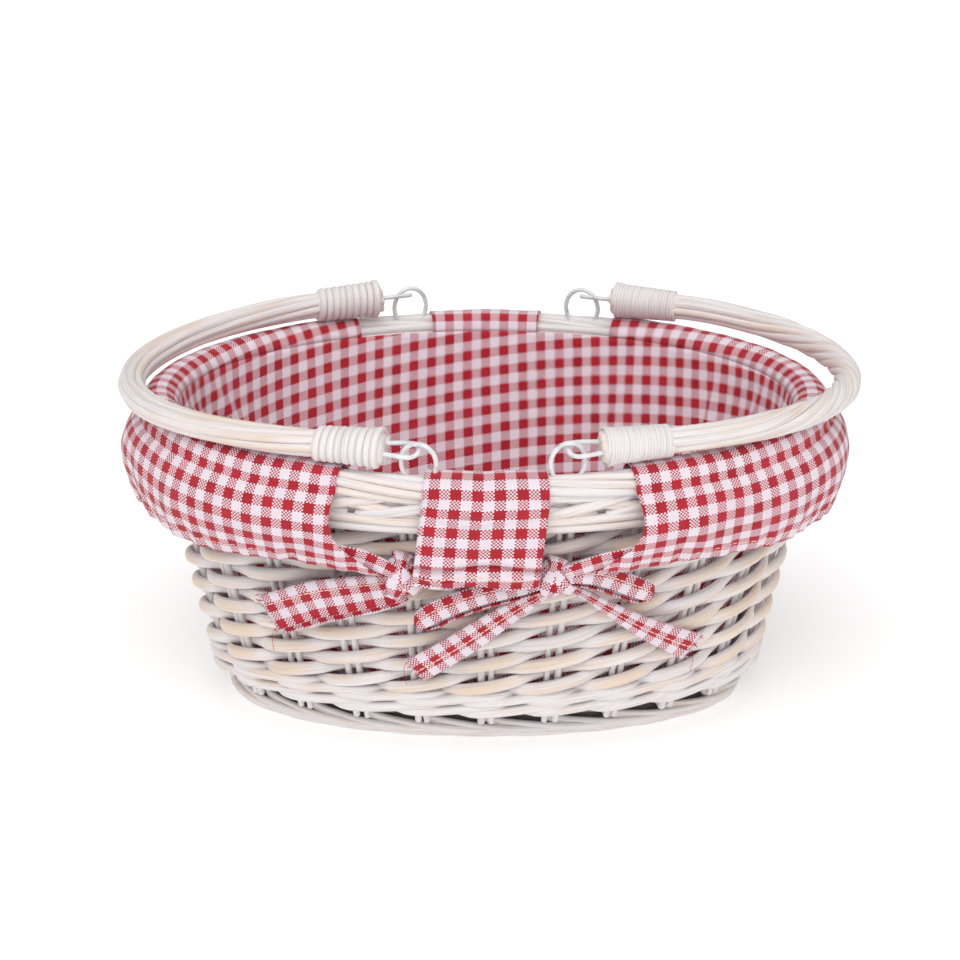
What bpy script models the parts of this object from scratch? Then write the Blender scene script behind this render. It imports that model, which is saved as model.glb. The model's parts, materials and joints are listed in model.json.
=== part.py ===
"""Oval willow picnic basket with two drop handles and a gingham cloth lining.

Frame: +Z up, +X along the length of the basket, -Y its front, origin on the
ground under the middle of the basket. All lengths are in metres.
"""

import math

import bmesh
import bpy
from mathutils import Matrix, Vector

# ---------------------------------------------------------------- dimensions

GAP = 0.0003                    # clearance between touching pieces
OVAL_SIDES = 44                 # straight pieces in the round of a plain oval
OVAL_RATIO = 0.66               # width over length, for spacing the stakes evenly

RIM_TOP = 0.1605                # height of the willow border
BORDER_LENGTH = 0.1625          # half length of the border's centre line
BORDER_WIDTH = 0.1145           # half width of the border's centre line
BORDER_RADIUS = 0.009           # rounding of the border's top, half its thickness
BORDER_DEPTH = 0.029            # height of the border's section
BORDER_STEPS = 64               # straight pieces in the border's round

WALL_FOOT_Z = 0.018             # height at which the wall's two half sizes are given
WALL_LENGTH = 0.1325            # half length of the stakes' ring there
WALL_WIDTH = 0.0712             # half width of the stakes' ring there
FLARE_LENGTH = 0.217            # outward lean of the ends, per metre of height
FLARE_WIDTH = 0.320             # outward lean of the long sides

STAKE_COUNT = 22
STAKE_RADIUS = 0.0020
HOOP_RADIUS = 0.0012            # hoop that joins the stakes' feet
HOOP_RISE = 0.0015              # hoop's height above the ends of the stakes
WEAVER_RADIUS = 0.0027
WEAVE_OFFSET = 0.0057           # weaver centre line to stake centre line
WEAVE_ROWS = 14
FIRST_ROW_Z = 0.0350
ROW_PITCH = 0.0071
WALE_HEIGHTS = (0.0222, 0.0288)
WALE_RADIUS = 0.0030

FOOT_LENGTH = 0.1262            # half length of the foot border's centre line
FOOT_WIDTH = 0.0620
FOOT_THICKNESS = 0.009
FOOT_HEIGHT = 0.0109
BASE_TOP = 0.0165

CLOTH = 0.0012                  # thickness of the lining, hems included
LINING_BOTTOM = (0.1226, 0.0620)
LINING_TOP = (0.1522, 0.1042)
SKIRT_HEM_Z = 0.113
SKIRT_STEPS = 12                # border steps that each skirt covers, either way
TAB_HALF_WIDTH = 0.029
TAB_HEM_Z = 0.111

WIRE_RADIUS = 0.00115
RING_HALF_WIDTH = 0.0086
RING_HALF_HEIGHT = 0.0098
PIVOT_HEIGHT = RIM_TOP + 0.0114
PIVOT_BELOW_RING = 0.0036       # eye's end wire hangs this far under the ring's top
EYE_HALF_WIDTH = 0.0045
EYE_LENGTH = 0.0205             # pivot to the tips of the eye inside the binding
EYE_TILT = {"front": math.radians(-27), "back": math.radians(20)}

HANDLE_RADIUS = 0.0070
HANDLE_DROP = 0.0058            # how much lower the bend lies than the hinges
BINDING_START = 0.0175          # pivot to the near end of the binding
BINDING_LENGTH = 0.033
BINDING_RADIUS = 0.0090
CORE_START = 0.0210             # pivot to the end of the willow rods

STRIP_WIDTH = 0.017
STRIP_THICKNESS = 0.0018
KNOT_SIZE = (0.0080, 0.0055, 0.0095)

# Handle data: hinge x at the front and at the back, bend half sizes, turn in plan,
# and the angles from the X axis at which the straight arms leave the bend.
HANDLES = {
    "left": dict(side=-1, front_x=-0.0315, back_x=-0.0395, length=0.1760, width=0.1135,
                 yaw=0.0, front_angle=58.0, back_angle=57.0),
    "right": dict(side=1, front_x=0.0384, back_x=0.0507, length=0.1805, width=0.1145,
                  yaw=3.0, front_angle=57.0, back_angle=50.0),
}


# ------------------------------------------------------------------- helpers

def clear_scene():
    """Remove every object of the start-up scene."""
    for obj in list(bpy.data.objects):
        bpy.data.objects.remove(obj, do_unlink=True)


def new_collection(name):
    """Add a collection under the scene's own."""
    collection = bpy.data.collections.new(name)
    bpy.context.scene.collection.children.link(collection)
    return collection


def paint(name, colour, roughness, metallic=0.0):
    """A Principled material, shared by the pieces of one finish."""
    material = bpy.data.materials.new(name)
    material.use_nodes = True
    shader = material.node_tree.nodes["Principled BSDF"]
    shader.inputs["Base Color"].default_value = (*colour, 1.0)
    shader.inputs["Roughness"].default_value = roughness
    shader.inputs["Metallic"].default_value = metallic
    return material


def own_material(obj, base):
    """Give a piece its own copy of a finish."""
    material = base.copy()
    material.name = obj.name + "_" + base.name
    obj.data.materials.clear()
    obj.data.materials.append(material)


def stake_angles():
    """Angles of stakes spaced evenly along the oval, from the front centre round.

    The oval is walked in small steps and a stake is set down each time the walked
    length passes another equal share of the whole.
    """
    steps = 3600
    turn = 2 * math.pi / steps
    lengths = [math.hypot(math.sin((k + 0.5) * turn), OVAL_RATIO * math.cos((k + 0.5) * turn))
               for k in range(steps)]
    share = sum(lengths) / STAKE_COUNT
    angles = []
    walked = 0.0
    first = 3 * steps // 4
    for k in range(steps):
        if walked >= share * len(angles) and len(angles) < STAKE_COUNT:
            angles.append((first + k) % steps * turn)
        walked += lengths[(first + k) % steps]
    return angles


def oval_point(length, width, angle, offset=0.0, z=0.0):
    """Point on an oval at an angle, moved outward along the oval's normal."""
    normal = Vector((width * math.cos(angle), length * math.sin(angle), 0.0)).normalized()
    return Vector((length * math.cos(angle), width * math.sin(angle), z)) + normal * offset


def wall_size(z):
    """Half length and half width of the stakes' ring at a height."""
    rise = z - WALL_FOOT_Z
    return WALL_LENGTH + FLARE_LENGTH * rise, WALL_WIDTH + FLARE_WIDTH * rise


def place(obj, collection, parent, base):
    """Link a piece, give it its finish and hang it under its parent."""
    collection.objects.link(obj)
    own_material(obj, base)
    if parent is not None:
        obj.parent = parent
        obj.data.transform(Matrix.Translation(-parent.location))
    return obj


def wire(name, points, radius, closed, resolution, collection, base, parent=None):
    """Round rod or wire through a list of points, as a bevelled curve."""
    curve = bpy.data.curves.new(name, "CURVE")
    curve.dimensions = "3D"
    curve.bevel_depth = radius
    curve.bevel_resolution = resolution
    curve.use_fill_caps = not closed
    spline = curve.splines.new("POLY")
    spline.points.add(len(points) - 1)
    for point, place_at in zip(spline.points, points):
        point.co = (*place_at, 1.0)
    spline.use_cyclic_u = closed
    spline.use_smooth = True
    return place(bpy.data.objects.new(name, curve), collection, parent, base)


def ring_of_section(name, length, width, z, section, count, collection, guides, base):
    """Oval ring of a given section: a flat closed curve with a bevel object."""
    outline = bpy.data.curves.new(name + "_section", "CURVE")
    outline.dimensions = "2D"
    line = outline.splines.new("POLY")
    line.points.add(len(section) - 1)
    for point, (across, up) in zip(line.points, reversed(section)):
        point.co = (across, up, 0.0, 1.0)
    line.use_cyclic_u = True
    guide = bpy.data.objects.new(name + "_section", outline)
    guide.hide_render = True
    guide.display_type = "WIRE"
    guides.objects.link(guide)

    curve = bpy.data.curves.new(name, "CURVE")
    curve.dimensions = "2D"
    curve.fill_mode = "NONE"
    curve.bevel_mode = "OBJECT"
    curve.bevel_object = guide
    spline = curve.splines.new("POLY")
    spline.points.add(count - 1)
    for k, point in enumerate(spline.points):
        angle = 2 * math.pi * k / count
        point.co = (*oval_point(length, width, angle).to_2d(), 0.0, 1.0)
    spline.use_cyclic_u = True
    obj = bpy.data.objects.new(name, curve)
    obj.location.z = z
    return place(obj, collection, None, base)


def sheet(name, rows, closed, thickness, collection, base, parent=None):
    """Cloth between rows of points, given its thickness by Solidify."""
    bm = bmesh.new()
    grid = [[bm.verts.new(point) for point in row] for row in rows]
    for lower, upper in zip(grid, grid[1:]):
        last = len(lower) if closed else len(lower) - 1
        for k in range(last):
            nxt = (k + 1) % len(lower)
            bm.faces.new((lower[k], lower[nxt], upper[nxt], upper[k]))
    bmesh.ops.recalc_face_normals(bm, faces=bm.faces)
    mesh = bpy.data.meshes.new(name)
    bm.to_mesh(mesh)
    bm.free()
    mesh.shade_smooth()
    obj = place(bpy.data.objects.new(name, mesh), collection, parent, base)
    solidify = obj.modifiers.new("thickness", "SOLIDIFY")
    solidify.thickness = thickness
    solidify.offset = 0.0
    return obj


def oval_plate(name, length, width, low, high, collection, base, sides=OVAL_SIDES):
    """Flat oval plate: a cylinder stretched to the oval's two half sizes."""
    bm = bmesh.new()
    bmesh.ops.create_cone(bm, cap_ends=True, segments=sides, radius1=1.0, radius2=1.0,
                          depth=high - low)
    bmesh.ops.scale(bm, vec=(length, width, 1.0), verts=bm.verts)
    mesh = bpy.data.meshes.new(name)
    bm.to_mesh(mesh)
    bm.free()
    obj = bpy.data.objects.new(name, mesh)
    obj.location.z = 0.5 * (low + high)
    return place(obj, collection, None, base)


# -------------------------------------------------------------------- basket

def add_foot_and_base(parts, guides, willow):
    """Foot border that the basket stands on, and the woven base on top of it."""
    half = FOOT_THICKNESS / 2
    section = [(-half + 0.0015, 0.0), (half - 0.0025, 0.0), (half, 0.003), (half, 0.0075),
               (half - 0.0025, FOOT_HEIGHT), (-half + 0.0025, FOOT_HEIGHT), (-half, 0.0085),
               (-half, 0.002)]
    ring_of_section("foot_border", FOOT_LENGTH, FOOT_WIDTH, 0.0, section, OVAL_SIDES,
                    parts, guides, willow)
    edge = wall_size(0.014)
    inset = STAKE_RADIUS + 0.0008
    oval_plate("base_mat", edge[0] - inset, edge[1] - inset, FOOT_HEIGHT + GAP, BASE_TOP,
               parts, willow)


def add_stakes(parts, willow):
    """Upright stakes, leaning outward, on the hoop that ties their feet together."""
    low = FOOT_HEIGHT + GAP + STAKE_RADIUS / 2
    high = RIM_TOP - BORDER_DEPTH - GAP - STAKE_RADIUS / 2
    hoop_z = low + HOOP_RISE
    bm = bmesh.new()
    for angle in stake_angles():
        foot = oval_point(*wall_size(low), angle, z=low)
        head = oval_point(*wall_size(high), angle, z=high)
        lean = (head - foot).to_track_quat("Z", "Y").to_matrix().to_4x4()
        lean.translation = (foot + head) / 2
        bmesh.ops.create_cone(bm, cap_ends=True, segments=6, radius1=STAKE_RADIUS,
                              radius2=STAKE_RADIUS, depth=(head - foot).length, matrix=lean)
    mesh = bpy.data.meshes.new("upright_stakes")
    bm.to_mesh(mesh)
    bm.free()
    mesh.shade_smooth()
    stakes = place(bpy.data.objects.new("upright_stakes", mesh), parts, None, willow)
    hoop_points = [oval_point(*wall_size(hoop_z), 2 * math.pi * k / OVAL_SIDES, z=hoop_z)
                   for k in range(OVAL_SIDES)]
    return stakes, hoop_points


def join_hoop(stakes, hoop_points, parts, guides, willow):
    """Union the stakes with their hoop, so that the frame is one body."""
    hoop = wire("stake_hoop", hoop_points, HOOP_RADIUS, True, 0, parts, willow)
    depsgraph = bpy.context.evaluated_depsgraph_get()
    solid = bpy.data.meshes.new_from_object(hoop.evaluated_get(depsgraph))
    parts.objects.unlink(hoop)
    bpy.data.objects.remove(hoop, do_unlink=True)
    guide = bpy.data.objects.new("stake_hoop_solid", solid)
    guide.hide_render = True
    guide.display_type = "WIRE"
    guides.objects.link(guide)
    union = stakes.modifiers.new("hoop", "BOOLEAN")
    union.operation = "UNION"
    union.object = guide


def weave_ring(z, phase, angles, reach=WEAVE_OFFSET):
    """Closed path that passes outside one stake and inside the next."""
    points = []
    for k, angle in enumerate(angles):
        following = angles[(k + 1) % len(angles)]
        if following < angle:
            following += 2 * math.pi
        swing = reach if (k + phase) % 2 == 0 else -reach
        points.append(oval_point(*wall_size(z), angle, swing, z))
        points.append(oval_point(*wall_size(z), (angle + following) / 2, 0.0, z))
    return points


def add_weave(parts, willow):
    """Two waling rounds at the foot and the randed rows of the wall."""
    angles = stake_angles()
    for number, z in enumerate(WALE_HEIGHTS, 1):
        points = [oval_point(*wall_size(z), 2 * math.pi * k / OVAL_SIDES, WEAVE_OFFSET, z)
                  for k in range(OVAL_SIDES)]
        wire("lower_wale_%d" % number, points, WALE_RADIUS, True, 1, parts, willow)
    for row in range(WEAVE_ROWS):
        points = weave_ring(FIRST_ROW_Z + row * ROW_PITCH, row, angles)
        wire("weave_row_%02d" % (row + 1), points, WEAVER_RADIUS, True, 1, parts, willow)


def add_border(parts, guides, willow):
    """Rolled border on top of the wall: a tall section with a round top."""
    radius = BORDER_RADIUS
    section = [(-radius + 0.002, -BORDER_DEPTH), (radius - 0.002, -BORDER_DEPTH),
               (radius, -BORDER_DEPTH + 0.002)]
    section += [(radius * math.cos(math.pi * k / 6), radius * (math.sin(math.pi * k / 6) - 1))
                for k in range(7)]
    section.append((-radius, -BORDER_DEPTH + 0.002))
    ring_of_section("rim_border", BORDER_LENGTH, BORDER_WIDTH, RIM_TOP, section, BORDER_STEPS,
                    parts, guides, willow)


# -------------------------------------------------------------------- lining

def over_rim(angle, stations):
    """Points of cloth that lies over the border, from its inner edge to the hem."""
    return [oval_point(BORDER_LENGTH, BORDER_WIDTH, angle, across, z) for across, z in stations]


def rim_stations(hem_z, bulge):
    """Cloth section over the border: round the top, out in a soft bulge, and down.

    Each station is a distance outward from the border's centre line and a height.
    """
    reach = BORDER_RADIUS + GAP + CLOTH / 2
    middle = RIM_TOP - BORDER_RADIUS
    stations = []
    for degrees in (150, 120, 90, 60, 30, 0):
        turn = math.radians(degrees)
        stations.append((reach * math.cos(turn), middle + reach * math.sin(turn)))
    stations.append((BORDER_RADIUS + 0.6 * bulge, middle - 0.25 * (middle - hem_z)))
    stations.append((BORDER_RADIUS + bulge, middle - 0.55 * (middle - hem_z)))
    stations.append((BORDER_RADIUS + 0.45 * bulge, hem_z))
    return stations


def add_lining(parts, cloth):
    """Lining: wall and floor inside, two skirts and two tabs folded over the border."""
    around = [2 * math.pi * k / OVAL_SIDES for k in range(OVAL_SIDES)]
    low = BASE_TOP + GAP + CLOTH + GAP
    rows = [[oval_point(length, width, angle, z=z) for angle in around]
            for (length, width), z in ((LINING_BOTTOM, low), (LINING_TOP, RIM_TOP))]
    sheet("lining_wall", rows, True, CLOTH, parts, cloth)
    oval_plate("lining_floor", LINING_BOTTOM[0], LINING_BOTTOM[1], BASE_TOP + GAP,
               BASE_TOP + GAP + CLOTH, parts, cloth)

    for side, middle in (("left", math.pi), ("right", 0.0)):
        stations = rim_stations(SKIRT_HEM_Z, 0.0085)
        rows = [over_rim(middle + 2 * math.pi * k / BORDER_STEPS, stations)
                for k in range(-SKIRT_STEPS, SKIRT_STEPS + 1)]
        sheet("skirt_" + side, rows, False, CLOTH, parts, cloth)
    half_angle = math.asin(TAB_HALF_WIDTH / BORDER_LENGTH)
    for side, middle in (("front", -math.pi / 2), ("back", math.pi / 2)):
        stations = rim_stations(TAB_HEM_Z, 0.0045)
        rows = [over_rim(middle + half_angle * (k / 3 - 1), stations) for k in range(7)]
        sheet("tab_" + side, rows, False, CLOTH, parts, cloth)


# --------------------------------------------------------------------- bows

def wall_front(x, z, out):
    """Point in front of the weave at a place along the basket and a height."""
    length, width = wall_size(z)
    reach = WEAVE_OFFSET + WEAVER_RADIUS + out
    depth = (width + reach) * math.sqrt(1 - (x / (length + reach)) ** 2)
    return Vector((x, -depth, z))


def strip(name, route, turn, parts, cloth, width=STRIP_WIDTH):
    """Flat cloth strip on the wall along a route of (x, z, distance out)."""
    rows = []
    for k, (x, z, out) in enumerate(route):
        before = Vector(route[max(k - 1, 0)][:2])
        after = Vector(route[min(k + 1, len(route) - 1)][:2])
        along = (after - before).normalized()
        across = Vector((-along.y, along.x)) * width / 2
        row = []
        for side in (-1, 0, 1):
            point = wall_front(x + side * across.x, z + side * across.y, out)
            row.append((turn * point.x, turn * point.y, point.z))
        rows.append(row)
    sheet(name, rows, False, STRIP_THICKNESS, parts, cloth)


def knot(name, x, z, turn, parts, cloth):
    """Pulled knot of a bow, a squashed sphere."""
    centre = wall_front(x, z, KNOT_SIZE[1] + 0.0012)
    bm = bmesh.new()
    bmesh.ops.create_uvsphere(bm, u_segments=10, v_segments=7, radius=1.0)
    bmesh.ops.scale(bm, vec=KNOT_SIZE, verts=bm.verts)
    mesh = bpy.data.meshes.new(name)
    bm.to_mesh(mesh)
    bm.free()
    mesh.shade_smooth()
    obj = bpy.data.objects.new(name, mesh)
    obj.location = (turn * centre.x, turn * centre.y, centre.z)
    place(obj, parts, None, cloth)


def add_bows(parts, cloth):
    """Ties at both sides of each tab; the back ones are the front ones turned round."""
    for face, turn in (("front", 1), ("back", -1)):
        knot("knot_%s_a" % face, -0.0405, 0.1080, turn, parts, cloth)
        knot("knot_%s_b" % face, 0.0325, 0.1075, turn, parts, cloth)
        strip("tie_%s_a" % face, [(-0.0500, 0.1015, 0.0030), (-0.0690, 0.0935, 0.0030),
                                  (-0.0895, 0.0835, 0.0025), (-0.1050, 0.0735, 0.0020)],
              turn, parts, cloth, 0.020)
        strip("loop_%s_b_inner" % face, [(0.0220, 0.1060, 0.0060), (-0.0030, 0.0975, 0.0060),
                                         (-0.0195, 0.0890, 0.0050), (-0.0320, 0.0795, 0.0040)],
              turn, parts, cloth, 0.013)
        strip("tail_%s_b_inner" % face, [(0.0240, 0.0940, 0.0025), (0.0100, 0.0845, 0.0025),
                                         (-0.0100, 0.0670, 0.0020), (-0.0335, 0.0490, 0.0018)],
              turn, parts, cloth, 0.014)
        strip("loop_%s_b_outer" % face, [(0.0430, 0.1085, 0.0060), (0.0545, 0.1070, 0.0055),
                                         (0.0690, 0.0985, 0.0045), (0.0785, 0.0925, 0.0040)],
              turn, parts, cloth, 0.013)
        strip("tail_%s_b_outer" % face, [(0.0425, 0.0950, 0.0022), (0.0560, 0.0865, 0.0022),
                                         (0.0770, 0.0700, 0.0020), (0.1010, 0.0525, 0.0018)],
              turn, parts, cloth, 0.013)


# ------------------------------------------------------------------- handles

def hinge_points(handle):
    """The two places where the eyes of a handle hang in their rings."""
    front = Vector((handle["front_x"], 0.0, PIVOT_HEIGHT))
    back = Vector((handle["back_x"], 0.0, PIVOT_HEIGHT))
    front.y = -BORDER_WIDTH * math.sqrt(1 - (front.x / BORDER_LENGTH) ** 2)
    back.y = BORDER_WIDTH * math.sqrt(1 - (back.x / BORDER_LENGTH) ** 2)
    return front, back


def bend_point(handle, degrees):
    """Point on the bend of a handle, which sinks towards its middle."""
    angle = math.radians(degrees)
    yaw = math.radians(handle["yaw"])
    x = handle["length"] * math.cos(angle)
    y = handle["width"] * math.sin(angle)
    x, y = x * math.cos(yaw) - y * math.sin(yaw), x * math.sin(yaw) + y * math.cos(yaw)
    reach = (x - 0.035) / (handle["length"] - 0.035)
    return Vector((handle["side"] * x, y, PIVOT_HEIGHT - HANDLE_DROP * reach ** 2))


def along_arm(pivot, joint, distance):
    """Point at a distance from the pivot on the straight arm of a handle."""
    return pivot + (joint - pivot).normalized() * distance


def add_rim_ring(name, pivot, joint, parts, metal):
    """Wire ring on the border, in the upright plane of its handle's arm.

    It is open below, where it meets the willow.
    """
    centre = pivot + Vector((0.0, 0.0, PIVOT_BELOW_RING - RING_HALF_HEIGHT))
    outward = Vector((joint.x - pivot.x, joint.y - pivot.y, 0.0)).normalized()
    start = math.asin((RIM_TOP + 0.0019 - centre.z) / RING_HALF_HEIGHT)
    sweep = math.pi - 2 * start
    points = []
    for k in range(13):
        angle = start + sweep * k / 12
        points.append(centre + outward * RING_HALF_WIDTH * math.cos(angle)
                      + Vector((0.0, 0.0, RING_HALF_HEIGHT * math.sin(angle))))
    wire(name, points, WIRE_RADIUS, False, 1, parts, metal)


def add_eye(name, pivot, joint, tilt, parts, metal, hinge):
    """Long wire eye: round the ring at the pivot, and two legs into the binding."""
    along = (joint - pivot).normalized()
    level = along.cross(Vector((0.0, 0.0, 1.0))).normalized()
    across = level * math.cos(tilt) + level.cross(along) * math.sin(tilt)
    half = EYE_HALF_WIDTH
    points = [pivot + along * EYE_LENGTH - across * half]
    for k in range(9):
        angle = math.pi * k / 8
        points.append(pivot + along * (half - half * math.sin(angle))
                      - across * half * math.cos(angle))
    points.append(pivot + along * EYE_LENGTH + across * half)
    wire(name, points, WIRE_RADIUS, False, 1, parts, metal, hinge)


def add_binding(name, pivot, joint, parts, base, hinge):
    """Sleeve of wound cane round the rods' ends: a wall profile turned by Screw."""
    along = (joint - pivot).normalized()
    inner = HANDLE_RADIUS + GAP
    bm = bmesh.new()
    corners = [(BINDING_RADIUS, BINDING_LENGTH - 0.001), (BINDING_RADIUS, 0.001),
               (BINDING_RADIUS - 0.001, 0.0), (inner, 0.0), (inner, BINDING_LENGTH),
               (BINDING_RADIUS - 0.001, BINDING_LENGTH)]
    verts = [bm.verts.new((radius, 0.0, height)) for radius, height in corners]
    for k, vert in enumerate(verts):
        bm.edges.new((vert, verts[(k + 1) % len(verts)]))
    mesh = bpy.data.meshes.new(name)
    bm.to_mesh(mesh)
    bm.free()
    obj = bpy.data.objects.new(name, mesh)
    parts.objects.link(obj)
    own_material(obj, base)
    obj.rotation_mode = "QUATERNION"
    obj.rotation_quaternion = along.to_track_quat("Z", "Y")
    obj.location = pivot + along * BINDING_START - hinge.location
    obj.parent = hinge
    screw = obj.modifiers.new("turn", "SCREW")
    screw.axis = "Z"
    screw.steps = 16
    screw.render_steps = 16
    screw.use_merge_vertices = True
    screw.merge_threshold = 0.00005
    screw.use_normal_calculate = True


def add_handle(side, handle, parts, willow, cane, metal):
    """One drop handle: rod bundle, two bindings and two eyes, under its hinge empty."""
    front, back = hinge_points(handle)
    hinge = bpy.data.objects.new(side + "_handle_hinge", None)
    hinge.location = (front + back) / 2
    parts.objects.link(hinge)
    front_joint = bend_point(handle, -handle["front_angle"])
    back_joint = bend_point(handle, handle["back_angle"])
    path = [along_arm(front, front_joint, CORE_START)]
    path.append(along_arm(front, front_joint, BINDING_START + BINDING_LENGTH + 0.001))
    count = 22
    for k in range(count + 1):
        part = k / count
        degrees = -handle["front_angle"] + part * (handle["front_angle"] + handle["back_angle"])
        path.append(bend_point(handle, degrees))
    path.append(along_arm(back, back_joint, BINDING_START + BINDING_LENGTH + 0.001))
    path.append(along_arm(back, back_joint, CORE_START))
    wire(side + "_handle_rods", path, HANDLE_RADIUS, False, 2, parts, willow, hinge)
    for place_name, pivot, joint in (("front", front, front_joint), ("back", back, back_joint)):
        label = "%s_%s" % (side, place_name)
        add_binding("binding_" + label, pivot, joint, parts, cane, hinge)
        add_eye("handle_eye_" + label, pivot, joint, EYE_TILT[place_name] * handle["side"], parts, metal, hinge)
        add_rim_ring("rim_ring_" + label, pivot, joint, parts, metal)


def main():
    clear_scene()
    parts = new_collection("picnic_basket")
    guides = new_collection("guides")
    willow = paint("whitewashed_willow", (0.80, 0.74, 0.69), 0.62)
    cane = paint("white_cane", (0.84, 0.80, 0.76), 0.55)
    cloth = paint("red_gingham", (0.62, 0.22, 0.24), 0.9)
    metal = paint("white_wire", (0.78, 0.79, 0.80), 0.4, 0.2)
    add_foot_and_base(parts, guides, willow)
    stakes, hoop_points = add_stakes(parts, willow)
    join_hoop(stakes, hoop_points, parts, guides, willow)
    add_weave(parts, willow)
    add_border(parts, guides, willow)
    add_lining(parts, cloth)
    add_bows(parts, cloth)
    for side, handle in HANDLES.items():
        add_handle(side, handle, parts, willow, cane, metal)


main()
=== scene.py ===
"""Looks of an oval willow picnic basket with a gingham lining and two drop handles."""

import json
import math

import bmesh
import bpy
import numpy as np
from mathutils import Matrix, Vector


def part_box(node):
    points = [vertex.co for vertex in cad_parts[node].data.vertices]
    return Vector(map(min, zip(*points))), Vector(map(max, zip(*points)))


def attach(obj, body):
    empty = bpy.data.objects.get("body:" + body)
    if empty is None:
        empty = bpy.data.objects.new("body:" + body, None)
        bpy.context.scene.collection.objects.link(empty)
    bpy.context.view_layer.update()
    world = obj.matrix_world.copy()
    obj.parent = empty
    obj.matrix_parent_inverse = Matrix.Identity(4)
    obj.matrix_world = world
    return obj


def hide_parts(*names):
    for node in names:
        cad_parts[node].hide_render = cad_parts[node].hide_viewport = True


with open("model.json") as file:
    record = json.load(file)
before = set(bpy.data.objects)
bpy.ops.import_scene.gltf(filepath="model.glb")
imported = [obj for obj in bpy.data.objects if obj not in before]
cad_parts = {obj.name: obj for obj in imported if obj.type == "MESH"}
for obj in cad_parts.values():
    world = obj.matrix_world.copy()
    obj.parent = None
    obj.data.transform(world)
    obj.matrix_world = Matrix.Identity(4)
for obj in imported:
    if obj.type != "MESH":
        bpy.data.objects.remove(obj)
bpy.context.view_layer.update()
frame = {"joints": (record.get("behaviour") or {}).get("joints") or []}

bl_info = {
    "name": "Willow picnic basket",
    "version": (1, 0, 0),
    "blender": (4, 5, 0),
    "location": "View3D > Sidebar > Basket",
    "description": "Builds the woven willow, the gingham lining, the ties and the handles",
    "category": "Add Mesh",
}

# ------------------------------------------------------- places from the frame

BORDER_RADIUS = 0.009
WALE_RADIUS = 0.003
WEAVE_OFFSET = 0.0057
FOOT_HALF_THICKNESS = 0.0045

BORDER_LOW, BORDER_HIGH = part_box("rim_border")
RIM_TOP = BORDER_HIGH.z
BORDER = (BORDER_HIGH.x - BORDER_RADIUS, BORDER_HIGH.y - BORDER_RADIUS)

WALE_LOW, WALE_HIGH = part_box("lower_wale_1")
WALE_Z = (WALE_LOW.z + WALE_HIGH.z) / 2
WALL_AT_WALE = (WALE_HIGH.x - WALE_RADIUS - WEAVE_OFFSET, WALE_HIGH.y - WALE_RADIUS - WEAVE_OFFSET)
WALL_LEAN = (0.217, 0.320)
UPPER_WALE_Z = sum(corner.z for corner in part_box("lower_wale_2")) / 2

FOOT_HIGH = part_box("foot_border")[1]
FOOT = (FOOT_HIGH.x - FOOT_HALF_THICKNESS, FOOT_HIGH.y - FOOT_HALF_THICKNESS)

STAKE_LOW, STAKE_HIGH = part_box("upright_stakes")
BASE_LOW, BASE_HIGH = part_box("base_mat")
FLOOR_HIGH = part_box("lining_floor")[1]

STAKES = 22
ROWS = 14
UP = np.array([0.0, 0.0, 1.0])
ROW_NAMES = ["weave_row_%02d" % number for number in range(1, ROWS + 1)]
ROW_HEIGHTS = [sum(corner.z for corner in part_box(name)) / 2 for name in ROW_NAMES]

PIVOT_Z = frame["joints"][0]["pos_m"][2]
ENDS = ("front", "back")
HANDLES = {
    "left": dict(side=-1, front_x=-0.0315, back_x=-0.0395, length=0.1760, width=0.1135,
                 yaw=0.0, front_angle=58.0, back_angle=57.0),
    "right": dict(side=1, front_x=0.0384, back_x=0.0507, length=0.1805, width=0.1145,
                  yaw=3.0, front_angle=57.0, back_angle=50.0),
}


# ------------------------------------------------------------ shapes as arrays

def unit(vectors):
    """Each vector divided by its length."""
    return vectors / np.maximum(np.linalg.norm(vectors, axis=-1, keepdims=True), 1e-12)


def blend(low, high, x):
    """Smooth step of x from 0 at low to 1 at high: 3t^2 - 2t^3."""
    t = np.clip((x - low) / (high - low), 0.0, 1.0)
    return t * t * (3 - 2 * t)


def circle(count):
    """Angles of a number of even steps round a circle, its start not repeated."""
    return np.linspace(0, 2 * math.pi, count, endpoint=False)


def oval_normal(angle, half):
    """Outward unit normal of an oval at an angle: (b cos t, a sin t), normalised."""
    a, b = half
    return unit(np.stack([b * np.cos(angle), a * np.sin(angle), 0 * angle], -1))


def oval(angle, half, out=0.0, z=0.0):
    """Points (a cos t, b sin t, z) of an oval, moved out along its normal."""
    angle, out, z = np.broadcast_arrays(angle, out, z)
    a, b = half
    points = np.stack([a * np.cos(angle), b * np.sin(angle), z], -1)
    return points + oval_normal(angle, half) * out[..., None]


def wall_half(z):
    """Half length and half width of the stakes' ring at a height: both grow in proportion."""
    rise = z - WALE_Z
    return WALL_AT_WALE[0] + WALL_LEAN[0] * rise, WALL_AT_WALE[1] + WALL_LEAN[1] * rise


WALK_ANGLES = np.linspace(-0.5 * math.pi, 1.5 * math.pi, 3601)
STAKE_RING_SHAPE = 0.66
WALK_STEPS = np.hypot(np.sin(WALK_ANGLES), STAKE_RING_SHAPE * np.cos(WALK_ANGLES))
WALKED = np.concatenate([[0.0], np.cumsum((WALK_STEPS[1:] + WALK_STEPS[:-1]) / 2)])


def stake_angle(place):
    """Angle of a place counted in stakes from the front centre, by equal arc length."""
    rounds = np.floor(place / STAKES)
    share = place / STAKES - rounds
    return np.interp(share * WALKED[-1], WALKED, WALK_ANGLES) + 2 * math.pi * rounds


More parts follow.
